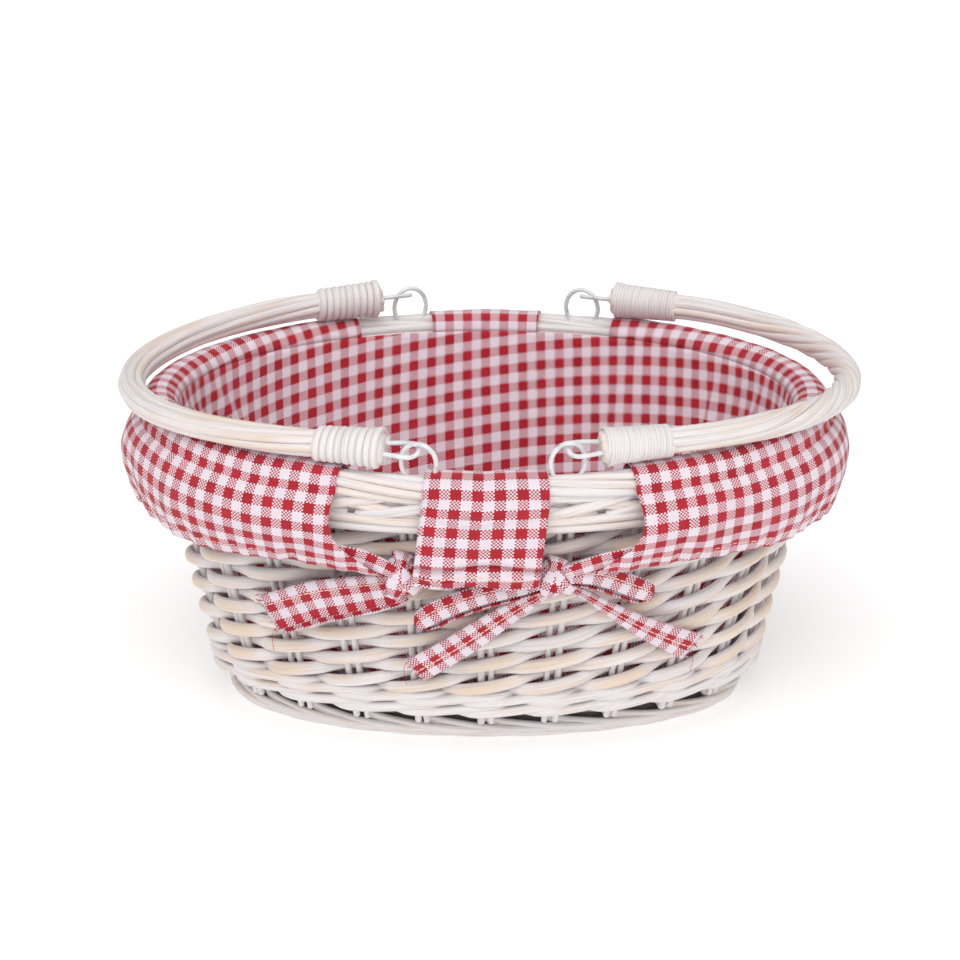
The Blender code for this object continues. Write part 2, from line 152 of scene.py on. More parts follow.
def smooth_line(points, count):
    """A smooth line through a few points: a Catmull-Rom spline read at even steps."""
    points = np.asarray(points, float)
    padded = np.vstack([2 * points[0] - points[1], points, 2 * points[-1] - points[-2]])
    place = np.linspace(0, len(points) - 1, count)
    first = np.minimum(place.astype(int), len(points) - 2)
    t = (place - first)[:, None]
    p0, p1, p2, p3 = (padded[first + k] for k in range(4))
    return 0.5 * (2 * p1 + (p2 - p0) * t + (2 * p0 - 5 * p1 + 4 * p2 - p3) * t ** 2
                  + (3 * p1 - p0 - 3 * p2 + p3) * t ** 3)


def run_length(points, closed=False):
    """Distance walked along a line of points, and round to its start if it is closed."""
    if closed:
        points = np.vstack([points, points[:1]])
    return np.concatenate([[0.0], np.cumsum(np.linalg.norm(np.diff(points, axis=0), axis=1))])


def wave(seed, place, waves=6, slowest=1.0):
    """Smooth repeatable noise of a place from -1 to 1: a sum of sines with seeded phases."""
    random = np.random.default_rng(seed)
    total = 0.0 * place
    for k in range(1, waves + 1):
        total = total + np.sin(place * slowest * k * random.uniform(0.8, 1.2)
                               + random.uniform(0, 2 * math.pi)) / k
    return total / 1.8


def round_wave(seed, angle, waves=5, lowest=2):
    """Noise from -1 to 1 that closes round a ring: sines of whole numbers of waves."""
    random = np.random.default_rng(seed)
    total = 0.0 * angle
    for k in range(lowest, lowest + waves):
        total = total + np.sin(k * angle + random.uniform(0, 2 * math.pi)) * random.uniform(0.4, 1)
    return total / waves ** 0.5


class Surface:
    """Vertices, quads, a UV for each corner and named numbers for each vertex."""

    def __init__(self, verts, quads, uv, marks):
        self.verts, self.quads, self.uv, self.marks = verts, quads, uv, marks


def grid(points, uv, ring_rows=False, ring_columns=False, keep=None, **marks):
    """Quads between the neighbours of a (rows, columns) grid of points.

    A ring closes the rows or the columns, and uv then has one more of them than the grid.
    keep picks the quads that stay.
    """
    rows, columns = points.shape[:2]
    r, c = np.meshgrid(np.arange(rows if ring_rows else rows - 1),
                       np.arange(columns if ring_columns else columns - 1), indexing="ij")
    if keep is not None:
        r, c = r[keep], c[keep]
    r, c = r.ravel(), c.ravel()
    r1, c1 = (r + 1) % rows, (c + 1) % columns
    quads = np.stack([r * columns + c, r * columns + c1, r1 * columns + c1, r1 * columns + c], 1)
    corners = np.stack([uv[r, c], uv[r, c + 1], uv[r + 1, c + 1], uv[r + 1, c]], 1)
    flat = {name: np.broadcast_to(value, (rows, columns)).ravel() for name, value in marks.items()}
    return Surface(points.reshape(-1, 3), quads, corners, flat)


def join(surfaces):
    """Several surfaces as one."""
    offsets = np.cumsum([0] + [len(s.verts) for s in surfaces[:-1]])
    return Surface(np.vstack([s.verts for s in surfaces]),
                   np.vstack([s.quads + offset for s, offset in zip(surfaces, offsets)]),
                   np.vstack([s.uv for s in surfaces]),
                   {name: np.concatenate([s.marks[name] for s in surfaces])
                    for name in surfaces[0].marks})


END_SHRINK = (0.0, 0.72, 0.72, 0.0)
END_PUSH = (-0.28, -0.26, 0.26, 0.28)


def rod(path, out, depth, height, sides=10, closed=False, tone=0.5, rub=0.0):
    """A round or oval section carried along a path.

    Each ring is path + depth cos(p) o + height sin(p) b, where o is the out direction made
    square to the path and b is square to both. An open rod closes to a point at its ends.
    """
    path = np.asarray(path, float)
    count = len(path)
    if closed:
        along = unit(np.roll(path, -1, 0) - np.roll(path, 1, 0))
    else:
        along = unit(np.gradient(path, axis=0))
    out = np.broadcast_to(out, path.shape)
    outward = unit(out - along * np.sum(out * along, 1, keepdims=True))
    level = np.cross(outward, along)
    depth, height, rub = (np.broadcast_to(v, (count,)).astype(float) for v in (depth, height, rub))
    if not closed:
        ends = [0] * 2 + list(range(count)) + [count - 1] * 2
        path, outward, level, along = path[ends], outward[ends], level[ends], along[ends]
        depth, height, rub = depth[ends], height[ends], rub[ends]
        shrink, push = np.ones(len(ends)), np.zeros(len(ends))
        shrink[[0, 1, -2, -1]] = END_SHRINK
        push[[0, 1, -2, -1]] = END_PUSH
        path = path + along * (push * height)[:, None]
        depth, height = depth * shrink, height * shrink
        count = len(ends)
    turn = 2 * math.pi * np.arange(sides) / sides
    points = (path[:, None]
              + outward[:, None] * (depth[:, None] * np.cos(turn))[..., None]
              + level[:, None] * (height[:, None] * np.sin(turn))[..., None])
    u = run_length(path, closed)
    v = np.linspace(0, 1, sides + 1) * 2 * math.pi * float(np.mean(height))
    uv = np.stack(np.meshgrid(u, v, indexing="ij"), -1)
    facing = np.clip(np.cos(turn), 0, 1) ** 0.7
    return grid(points, uv, closed, True, rub=rub[:, None] * facing,
                tone=np.full((count, sides), tone))


def oval_rod(angle, half, out, z, depth, height, *shape, **marks):
    """A rod that follows an oval, its section square to the oval's normal."""
    return rod(oval(angle, half, out, z), oval_normal(angle, half), depth, height, *shape, **marks)


# ------------------------------------------------------------------ materials

class Value:
    """A socket of a material's nodes. Its arithmetic adds Math nodes."""

    def __init__(self, paint, socket):
        self.paint, self.socket = paint, socket

    def math(self, operation, *others):
        return self.paint.node("ShaderNodeMath", dict(enumerate((self, *others))),
                               operation=operation)

    def __add__(self, other):
        return self.math("ADD", other)

    def __sub__(self, other):
        return self.math("SUBTRACT", other)

    def __mul__(self, other):
        return self.math("MULTIPLY", other)

    def __truediv__(self, other):
        return self.math("DIVIDE", other)

    def __mod__(self, other):
        return self.math("FLOORED_MODULO", other)

    def __rsub__(self, other):
        return self.paint.node("ShaderNodeMath", {0: other, 1: self}, operation="SUBTRACT")

    __radd__ = __add__
    __rmul__ = __mul__

    def floor(self):
        return self.math("FLOOR")

    def above(self, edge):
        return self.math("GREATER_THAN", edge)

    def step(self, low, high):
        """0 below low, 1 above high, smooth between."""
        return self.paint.node("ShaderNodeMapRange",
                               {"Value": self, "From Min": low, "From Max": high},
                               interpolation_type="SMOOTHSTEP")


class Paint:
    """A material under construction."""

    def __init__(self, name):
        self.material = bpy.data.materials.new(name)
        self.material.use_nodes = True
        self.tree = self.material.node_tree
        self.shader = self.tree.nodes["Principled BSDF"]

    def node(self, kind, inputs=None, output=0, **settings):
        """Add a node: its settings first, then its sockets' values or links."""
        node = self.tree.nodes.new(kind)
        for key, value in settings.items():
            setattr(node, key, value)
        for key, value in (inputs or {}).items():
            self.put(node.inputs[key], value)
        return Value(self, node.outputs[output])

    def put(self, socket, value):
        """Link a value to a socket, or set it."""
        if isinstance(value, Value):
            self.tree.links.new(value.socket, socket)
        else:
            socket.default_value = value

    def mark(self, name):
        """A number that the piece stores at each vertex."""
        return self.node("ShaderNodeAttribute", output=2, attribute_name=name)

    def run(self):
        """The piece's own UV in metres: along and across."""
        uv = self.node("ShaderNodeUVMap", uv_map="run")
        split = self.node("ShaderNodeSeparateXYZ", {0: uv}).socket.node
        return Value(self, split.outputs[0]), Value(self, split.outputs[1])

    def place(self, x, y, z=0.0):
        return self.node("ShaderNodeCombineXYZ", {0: x, 1: y, 2: z})

    def noise(self, where, scale=1.0, detail=2.0, rough=0.5):
        return self.node("ShaderNodeTexNoise", {"Vector": where, "Scale": scale,
                                                "Detail": detail, "Roughness": rough})

    def mix(self, factor, first, second):
        """Colour between two colours."""
        return self.node("ShaderNodeMix", {"Factor": factor, 6: first, 7: second}, 2,
                         data_type="RGBA")

    def bump(self, height, distance, strength=1.0, **under):
        return self.node("ShaderNodeBump", {"Height": height, "Distance": distance,
                                            "Strength": strength, **under})

    def finish(self, colour, roughness, normal=None, metallic=None, **fixed):
        """Set the shader's sockets. fixed holds values that are the same all over."""
        self.put(self.shader.inputs["Base Color"], colour)
        self.put(self.shader.inputs["Roughness"], roughness)
        if normal is not None:
            self.put(self.shader.inputs["Normal"], normal)
        if metallic is not None:
            self.put(self.shader.inputs["Metallic"], metallic)
        for key, value in fixed.items():
            self.shader.inputs[key.replace("_", " ")].default_value = value
        return self.material


def rgba(colour):
    """A colour property as a socket's four numbers."""
    return (*colour, 1.0)


def willow_paint(name, looks, tan_share=1.0, unwashed_and_painted_shade=0.0):
    """Whitewashed willow: thin white wash, rubbed through to tan where the rods stand out."""
    paint = Paint(name)
    along, around = paint.run()
    rub, tone = paint.mark("rub"), paint.mark("tone")
    patch = paint.noise(paint.place(along * 26, around * 90, tone * 31), detail=3.0)
    streak = paint.noise(paint.place(along * 34, around * 1100, tone * 17), detail=4.0, rough=0.62)
    grain = paint.noise(paint.place(along * 16, around * 1900, tone * 53), detail=2.0)
    bare = rub * 0.95 + (patch - 0.5) * 1.5 + (streak - 0.5) * 0.9 + (tone - 0.5) * 0.35
    bare = bare.step(0.14, 0.90) * tan_share
    white = paint.mix(tone, rgba(looks.wash_cool), rgba(looks.wash_warm))
    white = paint.mix((streak - 0.5).step(-0.02, 0.22) * 0.75, white, rgba(looks.wash_thin))
    colour = paint.mix(bare, white, rgba(looks.bare_willow))
    lines = grain.step(0.57, 0.70) * (0.2 + patch * 0.7)
    colour = paint.mix(lines * 0.6, colour, rgba(looks.grain))
    # Where asked, the colour is mixed towards a very dark brown: unwashed willow darkened to paint
    # the shade in the foot's gaps and under the base.
    if unwashed_and_painted_shade:
        colour = paint.mix(unwashed_and_painted_shade, colour, rgba(looks.raw_willow))
    relief = streak * 0.7 + grain * 0.5
    return paint.finish(colour, 0.60 - bare * 0.12, paint.bump(relief, 0.0006, 0.9))


def gingham_paint(name, looks):
    """Yarn-dyed gingham: white and red yarn in checks, crossed one over one.

    Where red crosses white, every second crossing shows the other yarn, so the mixed
    checks are a fine dither and every check has a toothed edge.
    """
    paint = Paint(name)
    along, across = paint.run()
    column, row = (along / looks.yarn).floor(), (across / looks.yarn).floor()
    per_check = float(round(looks.check / looks.yarn))
    red_warp = ((column / per_check).floor() % 2.0).above(0.5)
    red_weft = ((row / per_check).floor() % 2.0).above(0.5)
    over = ((column + row) % 2.0).above(0.5)
    red = over * red_warp + (1 - over) * red_weft
    fluff = paint.noise(paint.place(along * 2400, across * 2400), detail=2.0)
    fade = paint.noise(paint.place(along * 60, across * 60), detail=3.0)
    red = (red + (fluff - 0.5) * 0.35).step(0.25, 0.75)
    fade = fade.step(0.3, 0.7)
    colour = paint.mix(red, paint.mix(fade, rgba(looks.cotton), rgba(looks.cotton_cool)),
                       paint.mix(fade, rgba(looks.red_deep), rgba(looks.red)))
    seam, along_seam = paint.mark("seam"), paint.mark("along_seam")
    line = 1 - seam.math("ABSOLUTE").step(0.00022, 0.00042)
    thread = line * ((along_seam / looks.stitch_length) % 1.0).above(0.22)
    colour = paint.mix(thread, colour, rgba(looks.stitch_thread))
    weave = (((along / looks.yarn) % 1.0 - 0.5).math("ABSOLUTE")
             + ((across / looks.yarn) % 1.0 - 0.5).math("ABSOLUTE"))
    relief = fluff * 0.4 - weave * 0.35 + thread * 1.5
    folds = paint.noise(paint.place(along * 75, across * 75), detail=3.0, rough=0.45)
    rumple = paint.bump(folds, 0.0022, 0.75)
    return paint.finish(colour, 0.88, paint.bump(relief, 0.00025, 0.6, Normal=rumple),
                        Sheen_Weight=0.15, Sheen_Roughness=0.5, Specular_IOR_Level=0.25)


def wire_paint(name, looks):
    """White paint on wire, chipped through to dull metal in small spots."""
    paint = Paint(name)
    where = paint.node("ShaderNodeTexCoord", output=3)
    spots = paint.noise(where, 620.0, 3.0, 0.6)
    smear = paint.noise(where, 160.0, 2.0)
    chipped = (spots + (smear - 0.5) * 0.5).step(0.66, 0.72)
    colour = paint.mix(smear.step(0.35, 0.7), rgba(looks.wire_white), rgba(looks.wire_grey))
    colour = paint.mix(chipped, colour, rgba(looks.bare_metal))
    relief = paint.bump(smear - chipped * 0.6, 0.0003, 0.5)
    return paint.finish(colour, 0.34 + chipped * 0.2, relief, metallic=chipped * 0.7)


def cut_end_paint(name, looks):
    """Cut end of a willow rod: pale wood round a darker pith."""
    paint = Paint(name)
    along, across = paint.run()
    ring = paint.noise(paint.place(along * 900, across * 900), detail=2.0)
    colour = paint.mix(ring.step(0.35, 0.65), rgba(looks.wash_warm), rgba(looks.bare_willow))
    return paint.finish(colour, 0.8, paint.bump(ring, 0.0002, 0.5))


def thread_paint(name, looks):
    """Loose yarn at a frayed end, red or white by its own mark."""
    paint = Paint(name)
    colour = paint.mix(paint.mark("tone"), rgba(looks.cotton), rgba(looks.red))
    return paint.finish(colour, 0.9)


# -------------------------------------------------------------- making pieces

def add_piece(name, surface, material, body, replaces=(), thickness=None, weld=True):
    """Put a surface into a mesh object and hang it on its body."""
    mesh = bpy.data.meshes.new(name)
    verts, quads = surface.verts, surface.quads
    mesh.vertices.add(len(verts))
    mesh.vertices.foreach_set("co", verts.astype(np.float32).ravel())
    mesh.loops.add(quads.size)
    mesh.loops.foreach_set("vertex_index", quads.astype(np.int32).ravel())
    mesh.polygons.add(len(quads))
    mesh.polygons.foreach_set("loop_start", np.arange(0, quads.size, 4, dtype=np.int32))
    mesh.update(calc_edges=True)
    layer = mesh.uv_layers.new(name="run")
    layer.data.foreach_set("uv", surface.uv.astype(np.float32).ravel())
    for mark, values in surface.marks.items():
        attribute = mesh.attributes.new(mark, "FLOAT", "POINT")
        attribute.data.foreach_set("value", values.astype(np.float32))
    if weld:
        bm = bmesh.new()
        bm.from_mesh(mesh)
        bmesh.ops.remove_doubles(bm, verts=bm.verts, dist=0.0000005)
        bmesh.ops.dissolve_degenerate(bm, edges=bm.edges, dist=0.0000001)
        bmesh.ops.recalc_face_normals(bm, faces=bm.faces)
        bm.to_mesh(mesh)
        bm.free()
    mesh.validate()
    mesh.shade_smooth()
    mesh.materials.append(material)
    piece = bpy.data.objects.new(name, mesh)
    bpy.context.scene.collection.objects.link(piece)
    if thickness:
        solidify = piece.modifiers.new("cloth thickness", "SOLIDIFY")
        solidify.thickness = thickness
        solidify.offset = 0.0
    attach(piece, body)
    if replaces:
        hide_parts(*replaces)
    return piece


MATERIALS = {}


def finish_named(name, maker, *extra):
    """A material made once and shared by its pieces."""
    if name not in MATERIALS:
        MATERIALS[name] = maker(name, bpy.context.scene.basket_looks, *extra)
    return MATERIALS[name]


# --------------------------------------------------------------------- willow

def randing(sizes):
    """The woven wall: one rod starts at every stake, and all of them climb to the right.

    A rod that has passed m stakes has climbed m rows. Its offset follows cos(pi m), so it
    passes outside one stake and inside the next, and all stakes show strokes at one level.
    """
    rods = []
    pitch = (ROW_HEIGHTS[-1] - ROW_HEIGHTS[0]) / (ROWS - 1)
    middle, reach = 0.0014, 0.0039
    outside_height, inside_loss = 0.00332, 0.00095
    climbed = np.linspace(-0.9, ROWS - 0.6, 14 * ROWS)
    for number in range(STAKES):
        random = np.random.default_rng(100 + number)
        angle = stake_angle(number + climbed)
        swing = np.cos(math.pi * climbed)
        each = np.interp(climbed, np.arange(-1, ROWS + 1), random.uniform(0.0, 1.0, ROWS + 2))
        z = (ROW_HEIGHTS[0] + pitch * climbed + sizes.stroke_lift * swing
             + 0.0007 * (each - 0.5) + 0.0003 * wave(200 + number, climbed, 4, 0.7))
        half = wall_half(z)
        offset = middle + reach * np.sign(swing) * np.abs(swing) ** 0.8
        thick = 1 + 0.05 * wave(300 + number, climbed, 4, 0.5) + 0.08 * (each - 0.5)
        depth = (0.0021 + 0.0001 * swing) * thick
        height = (outside_height - inside_loss * np.clip(-swing, 0, 1) ** 1.5) * thick
        shown = 0.20 + np.clip(swing, 0, 1) ** 0.6 * (0.20 + 0.80 * each ** 1.2)
        rods.append(oval_rod(angle, half, offset, z, depth, height,
                             tone=random.uniform(0.2, 0.9), rub=shown))
    return join(rods)


def wale_round(z_middle, seed):
    """A three-rod wale as one rod that goes three times round.

    At each stake one turn lies inside and two outside, and each stroke climbs from below
    its neighbour to above it: the height follows sin and the offset tanh of cos 2 pi p / 3.
    """
    sink, climb, reach = 0.0013, 0.0019, 0.0050
    depth, height = 0.0022, 0.0026
    place = np.arange(3 * STAKES * 8) / 8
    turn = 2 * math.pi * (place % 3 - 1.5) / 3
    angle = stake_angle(place)
    z = z_middle - sink + climb * np.sin(turn) + 0.0003 * wave(seed, place, 4, 0.7)
    offset = reach * np.tanh(2.5 * (np.cos(turn) + 0.35)) - 0.0007 * np.sin(turn)
    half = wall_half(z)
    thick = 1 + 0.08 * wave(seed + 1, place, 5, 0.4)
    shown = 0.25 + 0.5 * blend(-1, 1, wave(seed + 2, place, 5, 1.1))
    return oval_rod(angle, half, offset, z, depth * thick, height * thick, 9, True, tone=0.35,
                    rub=np.clip(np.cos(turn), 0, 1) * shown)


def stake_rods():
    """Paired upright rods of the wall, straight lines with a little bow."""
    random = np.random.default_rng(7)
    rods = []
    z = np.linspace(STAKE_LOW.z - 0.001, STAKE_HIGH.z + 0.003, 9)
    half = wall_half(z)
    for number in range(STAKES):
        apart = random.uniform(0.0017, 0.0029)
        angle = np.full(len(z), stake_angle(float(number)))
        normal = oval_normal(angle, half)
        bow = 0.0004 * np.sin(z * 60 + number)
        for side in (-1, 1):
            aside = np.cross(UP, normal) * (side * apart + bow)[:, None]
            radius = random.uniform(0.0015, 0.0019)
            rods.append(rod(oval(angle, half, 0.0004, z) + aside, normal, radius, radius, 8,
                            tone=random.uniform(0.0, 0.5), rub=0.15))
    return join(rods)


# Stakes passed, height and offset of a stroke of the foot border.
FOOT_FALL = [(0.0, 0.0200, -0.0006), (0.01, 0.0140, -0.0002), (0.05, 0.0098, 0.0004),
             (0.25, 0.0077, 0.0010), (0.60, 0.0062, 0.0017), (1.00, 0.0047, 0.0023),
             (1.50, 0.0036, 0.0027), (2.05, 0.0029, 0.0022), (2.60, 0.0026, 0.0004),
             (3.10, 0.0026, -0.0034)]


def foot_strokes():
    """Foot border: every stake turns along the foot and sinks under the next three.

    Each stroke starts at the wall, falls outward beside the next stroke, and turns in at
    the ground.
    """
    random = np.random.default_rng(11)
    line = smooth_line(FOOT_FALL, 44)
    share = np.linspace(0, 1, len(line))
    stay = blend(0.0200, 0.0100, line[:, 1])
    half = tuple(wall * (1 - stay) + foot * stay for wall, foot in zip(wall_half(line[:, 1]), FOOT))
    strokes = []
    for number in range(STAKES):
        for strand in (-1, 1):
            angle = stake_angle(number + line[:, 0] + 0.02 * strand)
            radius = (0.00175 - 0.0002 * share) * random.uniform(0.92, 1.06)
            z = line[:, 1] + strand * 0.0010 * blend(0.03, 0.14, share)
            z = np.maximum(z + 0.0002 * wave(number, share, 3, 9.0), radius + 0.0001)
            strokes.append(oval_rod(angle, half, line[:, 2] + 0.0004 * strand, z, radius, radius, 9,
                                    tone=random.uniform(0.1, 0.6),
                                    rub=0.4 * blend(0.1, 0.3, share)))
    return join(strokes)


def foot_painted_shade_band():
    """Dark band that paints the shade in the foot's gaps: an upright oval band just inside the
    strokes, as the foot's inner side.
    """
    angle = circle(200)
    inset, z, depth, height = 0.0034, 0.0062, 0.0011, 0.0058
    return oval_rod(angle, FOOT, -inset, z, depth, height, 10, True, tone=0.3)


def base_weave():
    """Woven base seen from below: oval rounds that pass over and under the base sticks.

    A stick at a distance d from the middle ends on the oval, at b sqrt(1 - (d / a)^2).
    """
    middle = (BASE_LOW.z + BASE_HIGH.z) / 2
    rods = []
    angle = circle(240)
    for number in range(13):
        inset = 0.0030 + 0.0046 * number
        half = (BASE_HIGH.x - inset, BASE_HIGH.y - inset)
        z = middle + 0.0012 * np.cos(14 * angle + math.pi * number)
        rods.append(oval_rod(angle, half, 0.0, z, 0.0022, 0.0015, 8, True,
                             tone=0.3 + 0.03 * number, rub=0.3))
    cross = [(0, BASE_HIGH.x * (number - 5) / 5.6, 6) for number in range(11)]
    long = [(1, 0.016 * (number - 1), 8) for number in range(3)]
    for axis, distance, count in cross + long:
        reach = BASE_HIGH[1 - axis] * math.sqrt(1 - (distance / BASE_HIGH[axis]) ** 2) - 0.001
        ends = np.full((2, 3), middle)
        ends[:, axis], ends[:, 1 - axis] = distance, (-reach, reach)
        rods.append(rod(np.linspace(*ends, count), np.eye(3)[axis], 0.0022, 0.0016, 8, rub=0.2))
    return join(rods)


# Offset and depth under the rim's top of the rods at the back of the border.
BORDER_BACK = ((-0.0052, 0.0052), (-0.0068, 0.0090), (-0.0070, 0.0133), (-0.0066, 0.0176))
# Offset and height over the border's underside of its two lowest rods.
BORDER_FOOT = ((0.0043, 0.0024), (0.0051, 0.0066))


def border_rods(sizes):
    """Rolled border: a twisted roll on top, a crossed plait under it and plain rods.

    The roll's rods go round an oval section as cos and sin of an angle that also turns a
    few whole times along the border, so that they close.
    """
    rods = []
    random = np.random.default_rng(21)
    angle = circle(360)

    def closed_rod(out, z, depth, height, tone, rub=0.0):
        rods.append(oval_rod(angle, BORDER, out, z, depth, height, 9, True, tone=tone, rub=rub))

    for number in range(sizes.roll_rods):
        turn = (2 * math.pi * number / sizes.roll_rods - 3 * angle
                + 0.10 * round_wave(40 + number, angle))
        out = 0.0020 + 0.0048 * np.cos(turn)
        z = RIM_TOP - 0.0074 + 0.0051 * np.sin(turn)
        thick = 0.0021 * (1 + 0.08 * round_wave(60 + number, angle))
        closed_rod(out, z, thick, thick, random.uniform(0.2, 0.8),
                   0.28 + 0.2 * round_wave(80 + number, angle))
    for number, (out, down) in enumerate(BORDER_BACK):
        closed_rod(out + 0.0004 * round_wave(90 + number, angle), RIM_TOP - down, 0.0022, 0.0023,
                   0.1)
    for number, (out, rise) in enumerate(BORDER_FOOT):
        closed_rod(out + 0.0004 * round_wave(50 + number, angle, 6, 3),
                   BORDER_LOW.z + rise + 0.0004 * round_wave(55 + number, angle, 5, 3),
                   0.0022, 0.0023, 0.5 + 0.3 * number, 0.3)
    closed_rod(-0.0010, RIM_TOP - 0.0150, 0.0045, 0.0085, 0.2)
    share = np.linspace(0, 1, 14)
    bulge = np.sin(math.pi * share)
    fall = RIM_TOP - 0.0128 - 0.0078 * share
    rise = RIM_TOP - 0.0206 + 0.0086 * share
    for number in range(STAKES):
        for strand in (0.0, 0.17):
            for z, shift, out in ((fall, 0.0, 0.0032), (rise, 0.45, 0.0044)):
                where = stake_angle(number + shift + strand + 1.15 * share)
                rods.append(oval_rod(where, BORDER, out + 0.0018 * bulge, z, 0.0020, 0.0021, 8,
                                     tone=random.uniform(0.2, 0.8), rub=0.45 * bulge))
    return join(rods)


# -------------------------------------------------------------------- handles

WIRE_RADIUS = 0.00115
RODS_START = 0.0185
BINDING_START, BINDING_LENGTH = 0.0180, 0.0320


def pivot_points(handle):
    """The two hinge places of a handle, on the border's centre line."""
    places = []
    for x, sign in ((handle["front_x"], -1), (handle["back_x"], 1)):
        y = sign * BORDER[1] * math.sqrt(1 - (x / BORDER[0]) ** 2)
        places.append(np.array([x, y, PIVOT_Z]))
    return places


def bend_points(handle, degrees):
    """Points on the bend of a handle: a turned oval that sinks as the square of its reach."""
    angle, yaw = np.radians(degrees), math.radians(handle["yaw"])
    x, y = handle["length"] * np.cos(angle), handle["width"] * np.sin(angle)
    x, y = x * math.cos(yaw) - y * math.sin(yaw), x * math.sin(yaw) + y * math.cos(yaw)
    reach = (x - 0.035) / (handle["length"] - 0.035)
    return np.stack([handle["side"] * x, y, PIVOT_Z - 0.0058 * reach ** 2], -1)


def arm(handle, end):
    """Straight arm at one end: its hinge place and the directions along, across and above."""
    pivot = pivot_points(handle)[end]
    limit = handle["back_angle"] if end else -handle["front_angle"]
    along = unit(bend_points(handle, limit) - pivot)
    across = unit(np.cross(along, UP))
    return pivot, along, across, np.cross(across, along)


def handle_line(handle):
    """Centre line of the rods from the front binding round the bend to the back one."""
    front, back = pivot_points(handle)
    bend = bend_points(handle, np.linspace(-handle["front_angle"], handle["back_angle"], 60))

    def straight(pivot, joint):
        """From the rods' start near the hinge to just before the bend."""
        length = np.linalg.norm(joint - pivot)
        return pivot + unit(joint - pivot) * np.linspace(RODS_START, length - 0.004, 16)[:, None]

    line = np.vstack([straight(front, bend[0]), bend, straight(back, bend[-1])[::-1]])
    for _ in range(6):
        line[1:-1] = (line[:-2] + 2 * line[1:-1] + line[2:]) / 4
    return line


def handle_rods(side, handle, sizes):
    """A bundle of willow rods round a centre line.

    Rod k lies at the angle 2 pi k / n plus a twist. The left bundle is twisted a little
    and evenly, and the right one is twisted hard round its bend.
    """
    line = handle_line(handle)
    walked = run_length(line)
    share = walked / walked[-1]
    across = unit(np.cross(np.gradient(line, axis=0), UP))
    above = np.cross(across, unit(np.gradient(line, axis=0)))
    if side == "left":
        twist = 2.2 * (share - 0.5) + 0.5 * np.sin(2 * math.pi * share)
    else:
        twist = 0.5 + 9.5 * (blend(0.20, 0.80, share) - 0.5) + 1.0 * (share - 0.5)
    narrow = 0.93 + 0.07 * np.minimum(blend(0.0, 0.10, share), blend(0.0, 0.10, 1 - share))
    bundle_radius, rod_radius, core_radius = 0.00475, 0.00203, 0.0034
    rods = []
    for number in range(sizes.handle_rods):
        turn = (2 * math.pi * number / sizes.handle_rods + twist
                + 0.08 * wave(400 + number, share, 3, 7.0))[:, None]
        ring = (bundle_radius + 0.00022 * wave(430 + number, share, 3, 8.0)) * narrow
        outward = (across * np.cos(turn) + above * np.sin(turn)) * ring[:, None]
        thick = rod_radius * (1 + 0.07 * wave(460 + number, share, 3, 6.0))
        rods.append(rod(line + outward, outward, thick, thick * 1.05,
                        tone=0.25 + 0.6 * ((number * 0.37) % 1.0),
                        rub=0.42 + 0.30 * wave(490 + number, share, 5, 14.0)))
    rods.append(rod(line, above, core_radius, core_radius, 8, tone=0.2))
    return join(rods)


def binding(side, handle, end):
    """Cane wound round the ends of the rods: a helix whose radius grows towards the eye."""
    pivot, along, across, above = arm(handle, end)
    turns, depth, half_pitches = (21, 0.00065, 0.56) if side == "right" else (9, 0.0013, 0.53)
    share = np.linspace(0, 1, turns * 18)
    turn = (2 * math.pi * turns * share)[:, None]
    swell = 0.0075 + 0.0011 * (1 - share) ** 1.5 + 0.00045 * np.exp(-((share - 0.04) / 0.05) ** 2)
    swell = swell + 0.00012 * wave(700 + end, share * turns, 4, 3.0)
    outward = across * np.cos(turn) + above * np.sin(turn)
    path = (pivot + along * (BINDING_START + BINDING_LENGTH * share)[:, None]
            + outward * swell[:, None])
    cane = rod(path, outward, depth, half_pitches * BINDING_LENGTH / turns, 8, tone=0.6, rub=0.05)
    share = np.linspace(0, 1, 10)
    inside = BINDING_START + 0.0005 + (BINDING_LENGTH - 0.001) * share
    radius = 0.0074 + 0.0009 * (1 - share) ** 1.5
    sleeve = rod(pivot + along * inside[:, None], above, radius, radius, 20, rub=0.1)
    return join([cane, sleeve])


def rod_stubs(side, handle, end):
    """Cut ends of the rods that show at the eye's end of a binding."""
    pivot, along, across, above = arm(handle, end)
    random = np.random.default_rng(800 + end + (5 if side == "right" else 0))
    stubs = []
    for number in range(7):
        turn = 2 * math.pi * number / 7 + 0.4
        ring = 0.0048 + random.uniform(-0.0002, 0.0003)
        reach = 0.0158 + random.uniform(0.0, 0.0016)
        line = (pivot + (across * math.cos(turn) + above * math.sin(turn)) * ring
                + along * np.linspace(reach, 0.024, 5)[:, None])
        thick = random.uniform(0.0024, 0.0028)
        stubs.append(rod(line, above, thick, thick, tone=random.uniform(0.4, 1), rub=0.5))
    return join(stubs)


def rim_ring(handle, end, seed):
    """Wire ring through the border: a full oval turn in the upright plane of the arm."""
    pivot, along = arm(handle, end)[:2]
    turn = circle(72)
    half_width, half_height, hang = 0.0086, 0.0098, 0.0036
    wobble = 1 + 0.012 * round_wave(seed, turn, 3, 2)
    path = (pivot + unit(along * (1, 1, 0)) * (half_width * np.cos(turn) * wobble)[:, None]
            + np.outer(half_height * np.sin(turn) * wobble + hang - half_height, UP))
    return rod(path, unit(path - pivot), WIRE_RADIUS, WIRE_RADIUS, 12, True)


